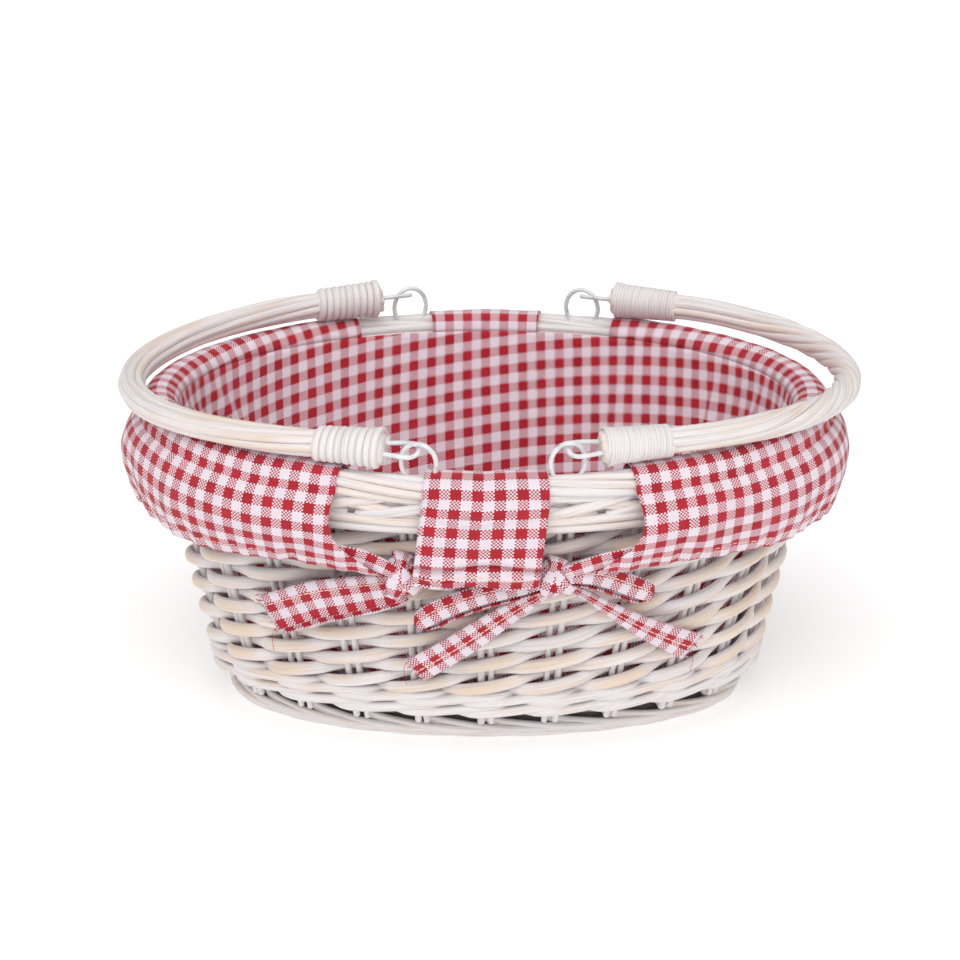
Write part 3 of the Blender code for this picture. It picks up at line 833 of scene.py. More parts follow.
def handle_eye(handle, end):
    """Wire eye: two legs out of the binding joined by a half turn round the ring."""
    pivot, along, level, above = arm(handle, end)
    tilt = math.radians(20 if end else -27) * handle["side"]
    across = level * math.cos(tilt) + above * math.sin(tilt)
    half, foot, neck = 0.0045, 0.0205, 0.0012
    arc = np.linspace(0, math.pi, 25)[:, None]
    leg = np.linspace(foot, half + neck, 9)[:, None]
    apart = across * (half - neck * blend(half, foot, leg))
    near, far = (pivot + along * leg + sign * apart for sign in (-1, 1))
    bend = pivot + along * (half - half * np.sin(arc)) - across * (half * np.cos(arc))
    return rod(np.vstack([near, bend, far[::-1]]), np.cross(along, across), WIRE_RADIUS,
               WIRE_RADIUS, 12)


# --------------------------------------------------------------------- lining

LINING_FLOOR = (FLOOR_HIGH.x, FLOOR_HIGH.y)
LINING_FLOOR_Z = FLOOR_HIGH.z
BORDER_Z = RIM_TOP - BORDER_RADIUS
CLOTH_OFFSET = BORDER_RADIUS + 0.0010
MEETING = math.pi - 0.27
SKEW = 0.040
# Place round the basket, slant, width and depth of each fold inside the lining.
CREASES = [(2.62, 0.55, 0.060, -0.0042), (2.86, 0.75, 0.050, -0.0036),
           (3.08, 0.60, 0.045, -0.0030), (3.30, 0.30, 0.050, -0.0028),
           (0.66, -0.10, 0.032, -0.0040), (0.42, -0.28, 0.045, -0.0034),
           (0.18, -0.30, 0.040, -0.0030), (-0.05, -0.15, 0.050, -0.0030),
           (1.05, -0.15, 0.060, -0.0018), (2.20, 0.25, 0.080, -0.0020),
           (-0.45, 0.0, 0.06, -0.003), (3.75, 0.0, 0.06, -0.003),
           (-0.9, 0.1, 0.05, -0.002), (4.2, 0.1, 0.05, -0.002)]
# Place down the tab, dip in the middle, width and depth of each of its folds.
TAB_FOLDS = [(0.07, 0.12, 0.040, 0.0017), (0.16, 0.14, 0.035, 0.0012),
             (0.70, -0.05, 0.035, 0.0016), (0.79, -0.05, 0.026, -0.0022),
             (0.88, 0.05, 0.035, 0.0016)]


def run_round(angle):
    """Length along the border's centre line from the front centre: a summed arc length."""
    fine = np.linspace(-0.5 * math.pi, 1.5 * math.pi, 2001)
    speed = np.hypot(BORDER[0] * np.sin(fine), BORDER[1] * np.cos(fine))
    walked = np.concatenate([[0.0], np.cumsum((speed[1:] + speed[:-1]) / 2 * (fine[1] - fine[0]))])
    rounds = np.floor(angle / (2 * math.pi) + 0.25)
    return np.interp(angle - 2 * math.pi * rounds, fine, walked) + walked[-1] * rounds


def skew(angle):
    """How far the rows of checks climb along the back: a smooth step of whole repeats."""
    return SKEW * blend(0.10 * math.pi, 0.92 * math.pi, angle)


def creases(angle, share, sizes):
    """Folds of the lining inside, outward positive.

    Each crease is a ridge exp(-x^2) with a furrow beside it, along a line that slants with
    height. The ends carry closer, weaker gathers as cosines.
    """
    total = 0.0 * angle * share
    for place, slant, width, size in CREASES:
        for whole in (-2 * math.pi, 0.0, 2 * math.pi):
            x = (angle + whole - place - slant * (share - 0.75)) / width
            total = total + size * (np.exp(-x ** 2) - 0.75 * np.exp(-(x - 1.5) ** 2))
    ends = np.abs(np.cos(angle)) ** 5
    gathers = 0.0008 * np.cos(34 * angle + 5 * share) + 0.0006 * np.cos(57 * angle - 4 * share)
    total = (total + ends * gathers) * sizes.crease_depth
    hold = np.sin(math.pi * np.clip(share, 0, 1) ** 0.8)
    return np.minimum(total, 0.0009) * hold - 0.0016 * hold


def wall_rows(angle, count, sizes):
    """Inside of the lining: straight from the floor's edge to the border, plus the creases."""
    share = np.linspace(0, 1, count)[:, None]
    low = oval(angle, LINING_FLOOR, 0.0, LINING_FLOOR_Z)
    top = oval(angle, BORDER, CLOTH_OFFSET * math.cos(MEETING),
               BORDER_Z + CLOTH_OFFSET * math.sin(MEETING))
    points = low[None] * (1 - share[..., None]) + top[None] * share[..., None]
    push = creases(angle[None, :], share, sizes)
    return points + oval_normal(angle, BORDER)[None] * push[..., None]


def over_rows(angle, count):
    """Cloth over the border's round top, from where the wall meets it to the outside."""
    turn = np.linspace(MEETING, 0, count)[:, None]
    wrinkle = 0.0006 * round_wave(31, angle, 9, 9)[None, :] * np.sin(turn)
    reach = CLOTH_OFFSET + np.abs(wrinkle * blend(MEETING, 2.4, turn))
    return oval(np.broadcast_to(angle, (count, len(angle))), BORDER, reach * np.cos(turn),
                BORDER_Z + reach * np.sin(turn))


def hanging_rows(wide, share, sizes, seed):
    """Cloth outside the border: out in a bulge and back in to its gathered hem.

    The bulge is a skewed sine of the way down. Near the hem, puckers are added as cosines
    round the basket, and slanting ridges exp(-x^2) fall from the corners.
    """
    belly = np.sin(math.pi * share ** 0.78) ** 0.9
    out = CLOTH_OFFSET + sizes.skirt_bulge * belly + 0.0012 * share
    out = out + 0.0011 * belly * round_wave(seed, wide + 0.25 * share, 7, 7)
    for k in range(9):
        step = (k + 0.5 + 0.3 * math.sin(3 * k + seed)) / 9
        place = wide[0, 0] + (wide[0, -1] - wide[0, 0]) * step
        x = (wide - place - (0.16 * (4 - k) / 4) * (share - 0.6)) / 0.045
        out = out + 0.0016 * math.cos(2 * k) * np.exp(-x ** 2) * blend(0.1, 0.6, share)
    pucker = blend(0.55, 0.97, share)
    out = out + sizes.hem_gather * pucker * (np.cos(61 * wide + 2 * share)
                                             + 0.7 * np.cos(97 * wide + seed))
    side_on = np.cos(wide) ** 2
    hem = (sizes.skirt_hem - 0.0050 * blend(0.25, 0.95, side_on)
           + 0.0012 * round_wave(seed + 1, wide, 6, 5))
    z = BORDER_Z * (1 - share) + hem * share
    return oval(wide, BORDER, out, z)


def cloth_grid(points, wide, seam_from_end=None, hung_inside=False, slant=1.0):
    """Cloth from rows of points: the checks run along the border and down the section.

    The distance down each column is a summed length, and slow waves drift the checks a
    little, as cloth that is pulled askew. Inside, the distances are counted from the rim,
    the last row, and the columns close round the basket.
    """
    steps = np.linalg.norm(np.diff(points, axis=0), axis=2)
    down = np.vstack([np.zeros((1, points.shape[1])), np.cumsum(steps, 0)])
    full = down[-1:]
    seam = 1.0 if seam_from_end is None else full - down - seam_from_end
    if hung_inside:
        down = down - full
    wide = np.broadcast_to(wide, down.shape)
    climb = (skew(np.mod(wide + 0.5 * math.pi, 2 * math.pi) - 0.5 * math.pi) * slant
             + 0.0016 * round_wave(3, wide + 4 * down, 5, 2))
    run = run_round(wide) + 0.0012 * round_wave(4, wide + 6 * down, 6, 3)
    if hung_inside:
        strides = np.linalg.norm(np.diff(points, axis=1), axis=2)
        walked = np.hstack([np.zeros((len(points), 1)), np.cumsum(strides, 1)])
        walked = walked - walked[:, points.shape[1] // 2][:, None]
        run = run + walked - walked[-1:]
        down = np.hstack([down, down[:, :1]])
        climb = np.hstack([climb, climb[:, :1] + SKEW])
        run = np.hstack([run, 2 * run[:, -1:] - run[:, -2:-1]])
    return grid(points, np.stack([run, down + climb], -1), False, hung_inside, seam=seam,
                along_seam=run_round(wide))


def measure(surface):
    """Area of a surface: half the cross product of each quad's diagonals, summed."""
    p = surface.verts[surface.quads]
    return float(np.linalg.norm(np.cross(p[:, 2] - p[:, 0], p[:, 3] - p[:, 1]), axis=1).sum() / 2)


def declare_sheet(surface, width):
    """Work out the length that gives a cloth its area at a flat width; the result is not kept."""
    measure(surface) / width


def lining_wall(sizes):
    """The wall of the lining all round, from floor to border."""
    angle = np.linspace(-0.5 * math.pi, 1.5 * math.pi, 480, endpoint=False)
    return cloth_grid(wall_rows(angle, 60, sizes), angle[None, :], hung_inside=True)


def lining_floor():
    """Floor of the lining: ovals shrinking to the middle, with low wrinkles."""
    angle = circle(96)
    share = np.linspace(0, 1, 26)[:, None]
    x = LINING_FLOOR[0] * share * np.cos(angle) * 0.998
    y = LINING_FLOOR[1] * share * np.sin(angle) * 0.998
    fade = np.sin(math.pi * share) ** 0.8
    z = LINING_FLOOR_Z + 0.0002 + 0.0007 * fade * (1 + wave(5, x * 90 + y * 40, 4, 1.0))
    points = np.stack([x, y, z], -1)
    uv = np.concatenate([points, points[:, :1]], 1)[..., :2]
    return grid(points, uv, False, True, seam=1.0, along_seam=0.0)


def skirt(middle, sizes, seed):
    """Skirt over one end of the border.

    Its side edges draw back below the rim and run forward again at the hem: the half angle
    is a smooth line through a few values of the way down.
    """
    side = np.linspace(-1, 1, 200)[None, :]
    edge = smooth_line([(0.0, 65.4), (0.25, 65.0), (0.5, 65.6), (0.75, 68.4), (1.0, 73.0)], 40)
    wide = middle + side * np.radians(edge[:, 1:])
    over = over_rows(wide[0], 12)
    hang = hanging_rows(wide, np.linspace(0, 1, 40)[:, None], sizes, seed)
    points = np.concatenate([over, hang[1:]], 0)
    wide = np.concatenate([np.broadcast_to(wide[:1], (len(over), 200)), wide[1:]], 0)
    return cloth_grid(points, wide, seam_from_end=0.0070)


def tab(middle, sizes):
    """Tab over the border between the handles, sagging in soft folds.

    The folds are ridges across the tab whose lines dip in the middle, as a parabola.
    """
    half = math.asin(sizes.tab_half_width / BORDER[0])
    across = np.linspace(-1, 1, 40)[None, :]
    angle = middle + half * across
    over = over_rows(angle[0], 16)
    share = np.linspace(0, 1, 64)[:, None]
    bulge, lift = 0.0020, 0.0006
    out = CLOTH_OFFSET + bulge * np.sin(math.pi * share ** 0.8) + lift
    for place, dip, width, size in TAB_FOLDS:
        x = (share - place + dip * (across ** 2 - 0.5) + 0.02 * np.sin(4 * across)) / width
        out = out + size * np.exp(-x ** 2)
    z = BORDER_Z * (1 - share) + (sizes.tab_hem + 0.0010 * np.cos(5 * across)) * share
    hang = oval(np.broadcast_to(angle, out.shape), BORDER, out, z)
    lean = -0.0052 * share
    hang = hang + np.cross(UP, oval_normal(angle, BORDER)) * lean[..., None]
    points = np.concatenate([over, hang[1:]], 0)
    return cloth_grid(points, angle, seam_from_end=0.006, slant=0.0)


# ------------------------------------------------------------------------ ties

def wall_front(x, z, out):
    """Points in front of the weave: y from the oval's equation at that height."""
    length, width = wall_half(z)
    reach = WEAVE_OFFSET + 0.0027 + out
    depth = (width + reach) * np.sqrt(np.maximum(0.0, 1 - (x / (length + reach)) ** 2))
    return np.stack([x, -depth, z], -1)


def strap(route, section, face, spread=None, ripple=0.0, start_v=0.0, stitch_at=None):
    """A flat or folded strip laid on the wall along a route of (x, z, out).

    Its section is a line of (across, out) points carried along the route. spread narrows it
    towards the knot, and ripple adds gathers there that fade along it.
    """
    line = smooth_line(route, 44)
    walked = run_length(line[:, :2])
    share = walked / walked[-1]
    gathers = 1100
    along = unit(np.gradient(line[:, :2], axis=0))
    normal = np.stack([-along[:, 1], along[:, 0]], 1) * np.sign(along[:, :1])
    section = smooth_line(section, 30)
    wide = np.ones(len(share)) if spread is None else np.interp(share, *spread)
    a = section[:, 0][None, :] * wide[:, None]
    lift = section[:, 1][None, :] * (1 + 0.6 * (1 - wide))[:, None]
    folds = ripple * (1 - blend(0.0, 0.6, share))[:, None] * np.cos(section[:, 0] * gathers)
    x = line[:, 0][:, None] + a * normal[:, :1]
    z = line[:, 1][:, None] + a * normal[:, 1:]
    points = wall_front(x, z, line[:, 2][:, None] + lift + np.abs(folds))
    points = points * (face, face, 1)
    v = run_length(section)
    uv = np.stack(np.meshgrid(walked, v + start_v, indexing="ij"), -1)
    seam = 1.0 if stitch_at is None else (v - stitch_at)[None, :]
    return grid(points, uv, seam=seam, along_seam=walked[:, None])


# Sections of folded strips as (across, out) points.
BROAD = [(-0.0062, 0.0072), (-0.0050, 0.0064), (0.0000, 0.0052), (0.0060, 0.0044),
         (0.0108, 0.0036), (0.0125, 0.0020), (0.0105, 0.0006), (0.0040, 0.0002),
         (-0.0040, 0.0002), (-0.0100, 0.0004), (-0.0125, 0.0010)]
LOOPED = [(-0.0030, 0.0056), (0.0010, 0.0048), (0.0050, 0.0036), (0.0070, 0.0022),
          (0.0052, 0.0006), (0.0000, 0.0000), (-0.0050, 0.0006), (-0.0074, 0.0020),
          (-0.0060, 0.0030)]
SINGLE = [(-0.0070, 0.0018), (-0.0050, 0.0026), (0.0000, 0.0030), (0.0050, 0.0026),
          (0.0070, 0.0016), (0.0050, 0.0006), (0.0000, 0.0004), (-0.0050, 0.0008)]
ROUND_END = ([0, 0.15, 0.5, 0.88, 0.94, 0.98, 1], [0.72, 0.95, 1.0, 1.0, 0.86, 0.6, 0.32])

# Routes are (x, z, out) points. spread gives the width's share at shares of the length.
STRAPS = {
    "tie_%s_a": dict(
        route=[(-0.0395, 0.1005, 0.0035), (-0.0598, 0.0935, 0.0034), (-0.0720, 0.0888, 0.0032),
               (-0.0844, 0.0835, 0.0028), (-0.1043, 0.0713, 0.0022)],
        section=BROAD, spread=([0, 0.12, 0.5, 1], [0.70, 0.84, 1.0, 0.96]), ripple=0.0010,
        start_v=0.005, stitch_at=0.0142),
    "loop_%s_b_inner": dict(
        route=[(0.0290, 0.1070, 0.0050), (0.0170, 0.1040, 0.0066), (-0.0028, 0.0978, 0.0064),
               (-0.0195, 0.0892, 0.0054), (-0.0330, 0.0790, 0.0040)],
        section=LOOPED, spread=ROUND_END, ripple=0.0007, stitch_at=0.0060),
    "tail_%s_b_inner": dict(
        route=[(0.0290, 0.0985, 0.0020), (0.0200, 0.0925, 0.0022), (0.0075, 0.0828, 0.0022),
               (-0.0110, 0.0667, 0.0018), (-0.0339, 0.0484, 0.0014)],
        section=SINGLE, spread=([0, 0.2, 0.5, 1], [0.45, 0.75, 1.0, 1.05]), ripple=0.0006,
        stitch_at=0.0070),
    "loop_%s_b_outer": dict(
        route=[(0.0360, 0.1085, 0.0050), (0.0450, 0.1095, 0.0070), (0.0560, 0.1062, 0.0070),
               (0.0690, 0.0982, 0.0058), (0.0795, 0.0915, 0.0044)],
        section=LOOPED, spread=ROUND_END, ripple=0.0014, stitch_at=0.0060),
    "tail_%s_b_outer": dict(
        route=[(0.0370, 0.1035, 0.0026), (0.0460, 0.0965, 0.0026), (0.0570, 0.0872, 0.0024),
               (0.0770, 0.0702, 0.0022), (0.1010, 0.0522, 0.0018)],
        section=SINGLE, spread=([0, 0.35, 0.7, 1], [0.25, 0.5, 0.86, 1.12]), ripple=0.0008,
        stitch_at=0.0072),
}
FRAYED = ("tie_%s_a", "tail_%s_b_inner", "tail_%s_b_outer")

# Strips between the skirts and the knots that have no CAD node of their own.
CORNERS = {
    "hem_casing_%s_left": dict(
        route=[(-0.0720, 0.1215, 0.0070), (-0.0620, 0.1195, 0.0080), (-0.0520, 0.1155, 0.0070),
               (-0.0410, 0.1095, 0.0060)],
        section=LOOPED, spread=([0, 0.4, 1], [0.50, 0.72, 0.55]), ripple=0.0012),
    "hem_casing_%s_right": dict(
        route=[(0.0700, 0.1205, 0.0070), (0.0600, 0.1185, 0.0080), (0.0490, 0.1150, 0.0066),
               (0.0370, 0.1105, 0.0050)],
        section=LOOPED, spread=([0, 0.4, 1], [0.45, 0.62, 0.5]), ripple=0.0014),
    "hem_band_%s": dict(
        route=[(-0.0400, 0.1060, 0.0020), (-0.0150, 0.1030, 0.0016), (0.0100, 0.1050, 0.0016),
               (0.0330, 0.1090, 0.0022)],
        section=SINGLE, spread=([0, 0.5, 1], [0.6, 0.5, 0.6]), ripple=0.0008),
}

# Place (x, z) and half sizes of each knot.
KNOTS = {"knot_%s_a": ((-0.0405, 0.1078), (0.0078, 0.0054, 0.0108)),
         "knot_%s_b": ((0.0325, 0.1075), (0.0088, 0.0058, 0.0088))}


YARN_RADIUS = 0.00014


def frayed_end(route, section, face, seed):
    """Loose yarns past the end of a strip: short curved lines fanned by seeded numbers."""
    line = smooth_line(route, 30)
    along = unit(line[-1, :2] - line[-3, :2])
    normal = np.array([-along[1], along[0]]) * np.sign(along[0])
    section = smooth_line(section, 30)
    random = np.random.default_rng(seed)
    yarns = []
    for number in range(34):
        a, lift = section[random.integers(len(section))] + random.normal(0, 0.0002, 2)
        start = line[-1, :2] + normal * a - along * 0.0010
        length, bend, red = 0.0105, -1.1, True
        if number:
            length, bend = random.uniform(0.0012, 0.0034), random.normal(0, 0.35)
            red = random.uniform(0, 1) > 0.45
        t = np.linspace(0, 1, 6)
        x, z = (start + np.outer(t, along * length) + np.outer(t ** 2, normal * bend * length)).T
        points = wall_front(x, z, line[-1, 2] + max(lift, 0.0003) + 0.0004 * t)
        yarns.append(rod(points * (face, face, 1), UP, YARN_RADIUS, YARN_RADIUS, 4,
                         tone=float(red)))
    return join(yarns)


def knot(x, z, size, face, seed):
    """A pulled knot: a puckered ellipsoid with wrapped bands of cloth over it.

    The body's radius is 1 plus cosines of longitude and latitude. Each band is a flat
    section carried round a tilted ellipse.
    """
    centre = wall_front(np.array(x), np.array(z), np.array(size[1] + 0.0008))
    longitude = circle(48)[None, :]
    latitude = np.linspace(-0.5 * math.pi, 0.5 * math.pi, 28)[:, None]
    bumps = 1 + 0.15 * np.cos(5 * longitude + 3 * np.sin(2 * latitude) + seed)
    bumps = bumps + 0.08 * np.cos(9 * longitude - 4 * latitude)
    bumps = 0.92 * (1 + (bumps - 1) * np.cos(latitude))
    body = np.stack([np.cos(latitude) * np.cos(longitude), np.cos(latitude) * np.sin(longitude),
                     np.sin(latitude) + 0 * longitude], -1) * bumps[..., None] * size
    run = np.stack(np.meshgrid(np.linspace(0, 0.042, 49), np.linspace(0, 0.030, 28)), -1)
    parts = [grid(body + centre, run, False, True, seam=1.0, along_seam=0.0)]
    turn = longitude[0]
    for tilt, shift, wide in ((0.30, -0.0012, 0.0056), (-0.85, 0.0022, 0.0048)):
        loop = np.stack([np.sin(turn) * math.sin(tilt), -np.cos(turn),
                         np.sin(turn) * math.cos(tilt)], -1)
        path = loop * (np.array(size) + 0.0004) * (1 + 0.05 * np.cos(3 * turn + seed))[:, None]
        path = path + centre + (shift, 0.0, 0.0)
        band = rod(path, loop, 0.0012, wide * (0.80 + 0.20 * np.cos(3 * turn + tilt)), 14, True)
        band.marks = {"seam": np.ones(len(band.verts)), "along_seam": np.zeros(len(band.verts))}
        parts.append(band)
    whole = join(parts)
    whole.verts = whole.verts * (face, face, 1)
    return whole


# ------------------------------------------------------------------ properties

def length_property(label, words, default):
    """A length setting in metres."""
    return bpy.props.FloatProperty(name=label, description=words, default=default, precision=5,
                                   unit="LENGTH")


def count_property(label, words, default):
    """A setting that counts rods."""
    return bpy.props.IntProperty(name=label, description=words, default=default, min=1)


def colour_property(label, words, default):
    """A colour setting in scene-linear numbers."""
    return bpy.props.FloatVectorProperty(name=label, description=words, subtype="COLOR",
                                         size=3, min=0.0, max=1.0, default=default)


class BasketSizes(bpy.types.PropertyGroup):
    """Sizes that a user would change."""

    stroke_lift: length_property("Stroke lift", "How far a rod stands higher in front of a stake",
                                 0.0005)
    roll_rods: count_property("Rods in the roll", "Rods in the top roll of the border", 8)
    handle_rods: count_property("Rods in a handle", "Willow rods round each handle", 8)
    crease_depth: bpy.props.FloatProperty(
        name="Crease depth", description="Strength of the folds inside the lining", default=1.7,
        subtype="FACTOR")
    skirt_hem: length_property("Skirt hem height", "Height of the skirts' hems", 0.1130)
    skirt_bulge: length_property("Skirt bulge", "How far the skirts stand out", 0.0078)
    hem_gather: length_property("Hem gather", "Depth of the puckers at the hems", 0.0006)
    tab_half_width: length_property("Tab half width", "Half width of the tabs", 0.0285)
    tab_hem: length_property("Tab hem height", "Height of the tabs' hems", 0.1075)


class BasketLooks(bpy.types.PropertyGroup):
    """Colours and pattern sizes that a user would change."""

    wash_cool: colour_property("Cool wash", "Thick whitewash in the hollows", (0.82, 0.78, 0.80))
    wash_warm: colour_property("Warm wash", "Thick whitewash on the rods", (0.87, 0.82, 0.80))
    wash_thin: colour_property("Thin wash", "Streaks where the wash is thin", (0.70, 0.62, 0.57))
    bare_willow: colour_property("Bare willow", "Rubbed patches", (0.82, 0.66, 0.53))
    grain: colour_property("Grain", "Fine dark grain lines", (0.42, 0.35, 0.31))
    # A very dark brown: unwashed willow darkened to paint the shade in the foot's gaps and under
    # the base.
    raw_willow: colour_property("Raw willow", "Unwashed willow of the base", (0.13, 0.105, 0.095))
    red: colour_property("Red yarn", "Red of the gingham", (0.47, 0.022, 0.034))
    red_deep: colour_property("Deep red yarn", "Red where the dye is deeper", (0.38, 0.015, 0.026))
    cotton: colour_property("White yarn", "White of the gingham", (0.79, 0.70, 0.75))
    cotton_cool: colour_property("Cool white yarn", "White with a cool cast", (0.75, 0.66, 0.73))
    stitch_thread: colour_property("Stitching", "Sewing thread", (0.90, 0.62, 0.52))
    wire_white: colour_property("Wire paint", "White paint of the rings", (0.80, 0.81, 0.82))
    wire_grey: colour_property("Thin wire paint", "Paint where it is thin", (0.66, 0.68, 0.70))
    bare_metal: colour_property("Bare wire", "Metal in the chips", (0.34, 0.33, 0.33))
    floor: colour_property("Floor", "Studio floor", (0.92, 0.92, 0.92))
    check: length_property("Check", "Width of one check", 0.005)
    yarn: length_property("Yarn", "Width of one crossing", 0.005 / 6)
    stitch_length: length_property("Stitch", "Length of one stitch", 0.0034)


# -------------------------------------------------------------------- operators

class BasketOperator:
    """What every operator of the basket shares."""

    bl_options = {"REGISTER", "UNDO"}

    def willow(self, name, surface, *replaces, body="root"):
        """Add a piece of whitewashed willow."""
        return add_piece(name, surface, finish_named("whitewashed_willow", willow_paint), body,
                         replaces)

    def gingham(self, name, surface, slot, replaces, thickness=None, weld=False):
        """Add a piece of gingham."""
        return add_piece("gingham_" + name, surface, finish_named("red_gingham", gingham_paint),
                         "root", replaces, thickness, weld)


class BASKET_OT_stage(BasketOperator, bpy.types.Operator):
    """Camera, pale floor and soft studio light"""

    bl_idname = "basket.stage"
    bl_label = "Stage"

    def execute(self, context):
        scene = context.scene
        looks = scene.basket_looks

        def put(name, data, turn=(0.0, 0.0, 0.0)):
            """Link an object to the scene, turned by three angles in degrees."""
            thing = bpy.data.objects.new(name, data)
            thing.rotation_euler = [math.radians(degrees) for degrees in turn]
            scene.collection.objects.link(thing)
            return thing

        distance, rise, aim_x, aim_z = 1.8, 22, -0.0028, 0.112
        scene.camera = put("camera", bpy.data.cameras.new("camera"), (90 - rise, 0, 0))
        scene.camera.location = (aim_x, -distance * math.cos(math.radians(rise)),
                                 aim_z + distance * math.sin(math.radians(rise)))
        scene.camera.data.lens = 134.25
        scene.camera.data.sensor_width = 36.0

        reach = 12.0
        floor = bpy.data.meshes.new("floor")
        floor.from_pydata([(-reach, -reach, 0), (reach, -reach, 0), (reach, reach, 0),
                           (-reach, reach, 0)], [], [(0, 1, 2, 3)])
        pale = rgba(looks.floor)
        floor.materials.append(Paint("pale_floor").finish(pale, 0.9, Emission_Color=pale,
                                                          Emission_Strength=0.30))
        ground = put("floor", floor)

        scene.world = bpy.data.worlds.new("soft studio")
        scene.world.use_nodes = True
        background = scene.world.node_tree.nodes["Background"].inputs
        background["Color"].default_value = (1.0, 1.0, 1.0, 1.0)
        background["Strength"].default_value = 0.46
        for name, energy, spread, tilt, turn in (("key", 1.60, 60, 34, -14),
                                                 ("fill", 0.50, 90, 64, 32)):
            light = bpy.data.lights.new(name, "SUN")
            light.energy = energy
            light.angle = math.radians(spread)
            put(name, light, (tilt, 0, turn))
        scene.view_settings.view_transform = "Standard"
        return {"FINISHED"}


class BASKET_OT_wall(BasketOperator, bpy.types.Operator):
    """Stakes, randed rows and wales of the wall"""

    bl_idname = "basket.wall"
    bl_label = "Woven wall"

    def execute(self, context):
        self.willow("willow_randing", randing(context.scene.basket_sizes), *ROW_NAMES)
        for number, z in enumerate((WALE_Z, UPPER_WALE_Z), 1):
            self.willow("willow_wale_%d" % number, wale_round(z, 500 + 10 * number),
                        "lower_wale_%d" % number)
        self.willow("willow_stakes", stake_rods(), "upright_stakes")
        return {"FINISHED"}


class BASKET_OT_foot(BasketOperator, bpy.types.Operator):
    """Foot border and woven base"""

    bl_idname = "basket.foot"
    bl_label = "Foot and base"

    def execute(self, context):
        self.willow("willow_foot", foot_strokes(), "foot_border")
        # Dark willow for the base and the foot's inner band: unwashed willow darkened to paint the
        # shade there.
        unwashed_and_painted_shade = finish_named("raw_willow", willow_paint, 1.0, 0.92)
        # A dark band just inside the foot paints the shade seen through its gaps.
        add_piece("painted_shade_foot_band", foot_painted_shade_band(), unwashed_and_painted_shade, "root")
        add_piece("willow_base", base_weave(), unwashed_and_painted_shade, "root", ["base_mat"])
        return {"FINISHED"}


class BASKET_OT_border(BasketOperator, bpy.types.Operator):
    """Rolled and plaited border"""

    bl_idname = "basket.border"
    bl_label = "Border"

    def execute(self, context):
        self.willow("willow_border", border_rods(context.scene.basket_sizes), "rim_border")
        return {"FINISHED"}


class BASKET_OT_handles(BasketOperator, bpy.types.Operator):
    """Rod bundles, bindings, wire eyes and rings of both handles"""

    bl_idname = "basket.handles"
    bl_label = "Handles"

    def execute(self, context):
        sizes = context.scene.basket_sizes
        cane = finish_named("wound_cane", willow_paint, 0.25)
        wire = finish_named("painted_wire", wire_paint)
        stub = finish_named("cut_willow", cut_end_paint)
        for side, handle in HANDLES.items():
            body = side + "_handle"
            self.willow("willow_handle_" + side, handle_rods(side, handle, sizes),
                        side + "_handle_rods", body=body)
            for end, label in enumerate(ENDS):
                both = "%s_%s" % (side, label)
                add_piece("cane_binding_" + both, binding(side, handle, end), cane, body,
                          ["binding_" + both])
                add_piece("rod_stubs_" + both, rod_stubs(side, handle, end), stub, body)
                add_piece("wire_eye_" + both, handle_eye(handle, end), wire, body,
                          ["handle_eye_" + both])
                add_piece("wire_ring_" + both, rim_ring(handle, end, 900 + end), wire, "root",
                          ["rim_ring_" + both])
        return {"FINISHED"}


class BASKET_OT_lining(BasketOperator, bpy.types.Operator):
    """Lining wall, floor, skirts and tabs"""

    bl_idname = "basket.lining"
    bl_label = "Lining"

    def execute(self, context):
        sizes = context.scene.basket_sizes
        cloth = 0.0006

        def hang(name, shape, replaced, width, held):
            """Add a cloth that hangs from the border."""
            piece = self.gingham(name, shape, "gingham", [replaced], cloth)
            declare_sheet(shape, width)

        hang("wall", lining_wall(sizes), "lining_wall", 0.88, "hung")
        floor = lining_floor()
        piece = self.gingham("floor", floor, "gingham", ["lining_floor"], cloth, weld=True)
        measure(floor)
        for side, middle, seed in (("left", math.pi, 60), ("right", 0.0, 70)):
            name = "skirt_" + side
            hang(name, skirt(middle, sizes, seed), name, 0.36, "gathered")
        for side, middle in zip(ENDS, (-0.5 * math.pi, 0.5 * math.pi)):
            name = "tab_" + side
            hang(name, tab(middle, sizes), name, 0.057, "draped")
        return {"FINISHED"}


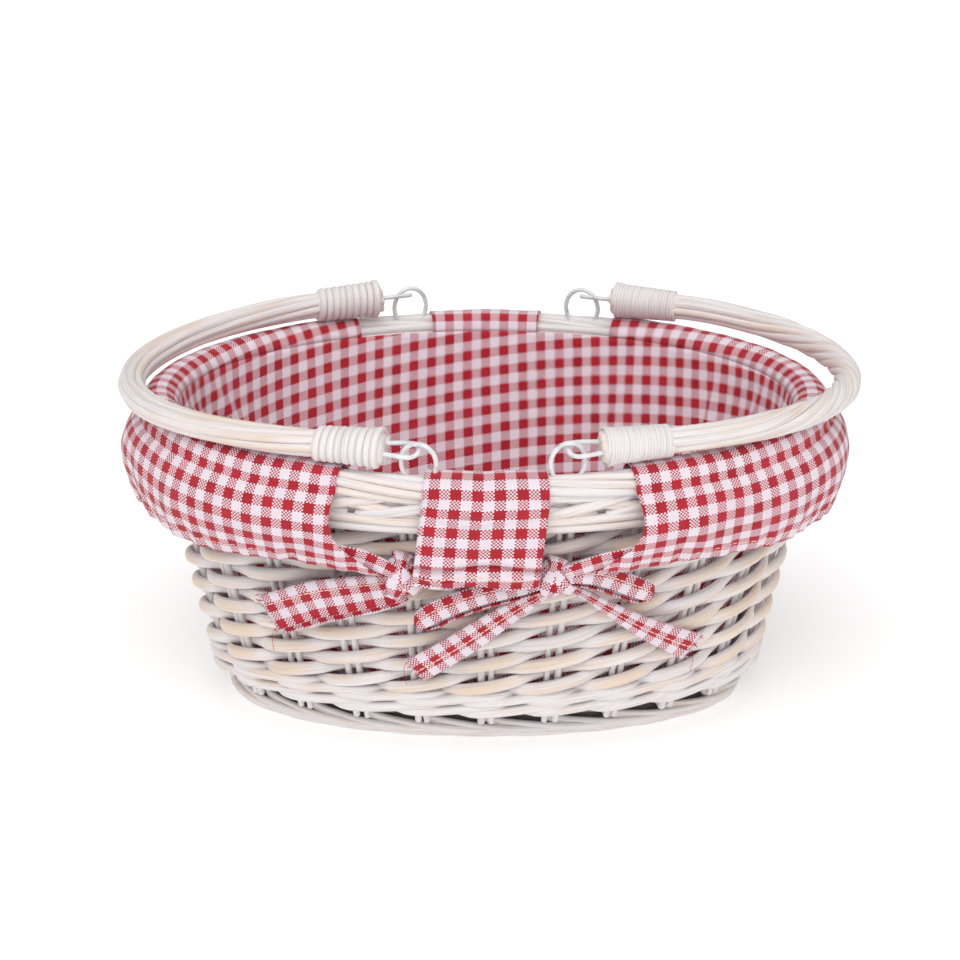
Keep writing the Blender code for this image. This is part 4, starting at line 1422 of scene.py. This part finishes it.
class BASKET_OT_ties(BasketOperator, bpy.types.Operator):
    """Bows, knots and frayed ends of the ties"""

    bl_idname = "basket.ties"
    bl_label = "Ties"

    def execute(self, context):
        yarn = finish_named("loose_yarn", thread_paint)
        strip = 0.0005
        for face, label in zip((1, -1), ENDS):
            for name, shape in {**STRAPS, **CORNERS}.items():
                surface = strap(face=face, **shape)
                own = name % label
                piece = self.gingham(own, surface, "gingham_ties", [own] if name in STRAPS else [],
                                     strip)
                length = float(run_length(smooth_line(shape["route"], 44))[-1])
                declare_sheet(surface, length)
            for number, name in enumerate(FRAYED):
                route, section = STRAPS[name]["route"], STRAPS[name]["section"]
                add_piece("yarn_" + name % label, frayed_end(route, section, face, 30 + number),
                          yarn, "root")
            for number, (name, ((x, z), size)) in enumerate(KNOTS.items()):
                own = name % label
                self.gingham(own, knot(x, z, size, face, number), "gingham_ties", [own], weld=True)
        return {"FINISHED"}


class BASKET_PT_panel(bpy.types.Panel):
    """Buttons and settings of the basket"""

    bl_label = "Willow basket"
    bl_space_type = "VIEW_3D"
    bl_region_type = "UI"
    bl_category = "Basket"

    def draw(self, context):
        for operator in OPERATORS:
            self.layout.operator(operator.bl_idname)
        for group in (context.scene.basket_sizes, context.scene.basket_looks):
            for key in group.__annotations__:
                self.layout.prop(group, key)


OPERATORS = (BASKET_OT_stage, BASKET_OT_wall, BASKET_OT_foot, BASKET_OT_border, BASKET_OT_handles,
             BASKET_OT_lining, BASKET_OT_ties)
CLASSES = (BasketSizes, BasketLooks, *OPERATORS, BASKET_PT_panel)


def register():
    for kind in CLASSES:
        bpy.utils.register_class(kind)
    bpy.types.Scene.basket_sizes = bpy.props.PointerProperty(type=BasketSizes)
    bpy.types.Scene.basket_looks = bpy.props.PointerProperty(type=BasketLooks)


def unregister():
    del bpy.types.Scene.basket_looks
    del bpy.types.Scene.basket_sizes
    for kind in reversed(CLASSES):
        bpy.utils.unregister_class(kind)


def main():
    register()
    for operator in OPERATORS:
        group, name = operator.bl_idname.split(".")
        result = getattr(getattr(bpy.ops, group), name)()
        if result != {"FINISHED"}:
            raise RuntimeError("%s did not finish" % operator.bl_idname)


if __name__ == "__main__":
    main()
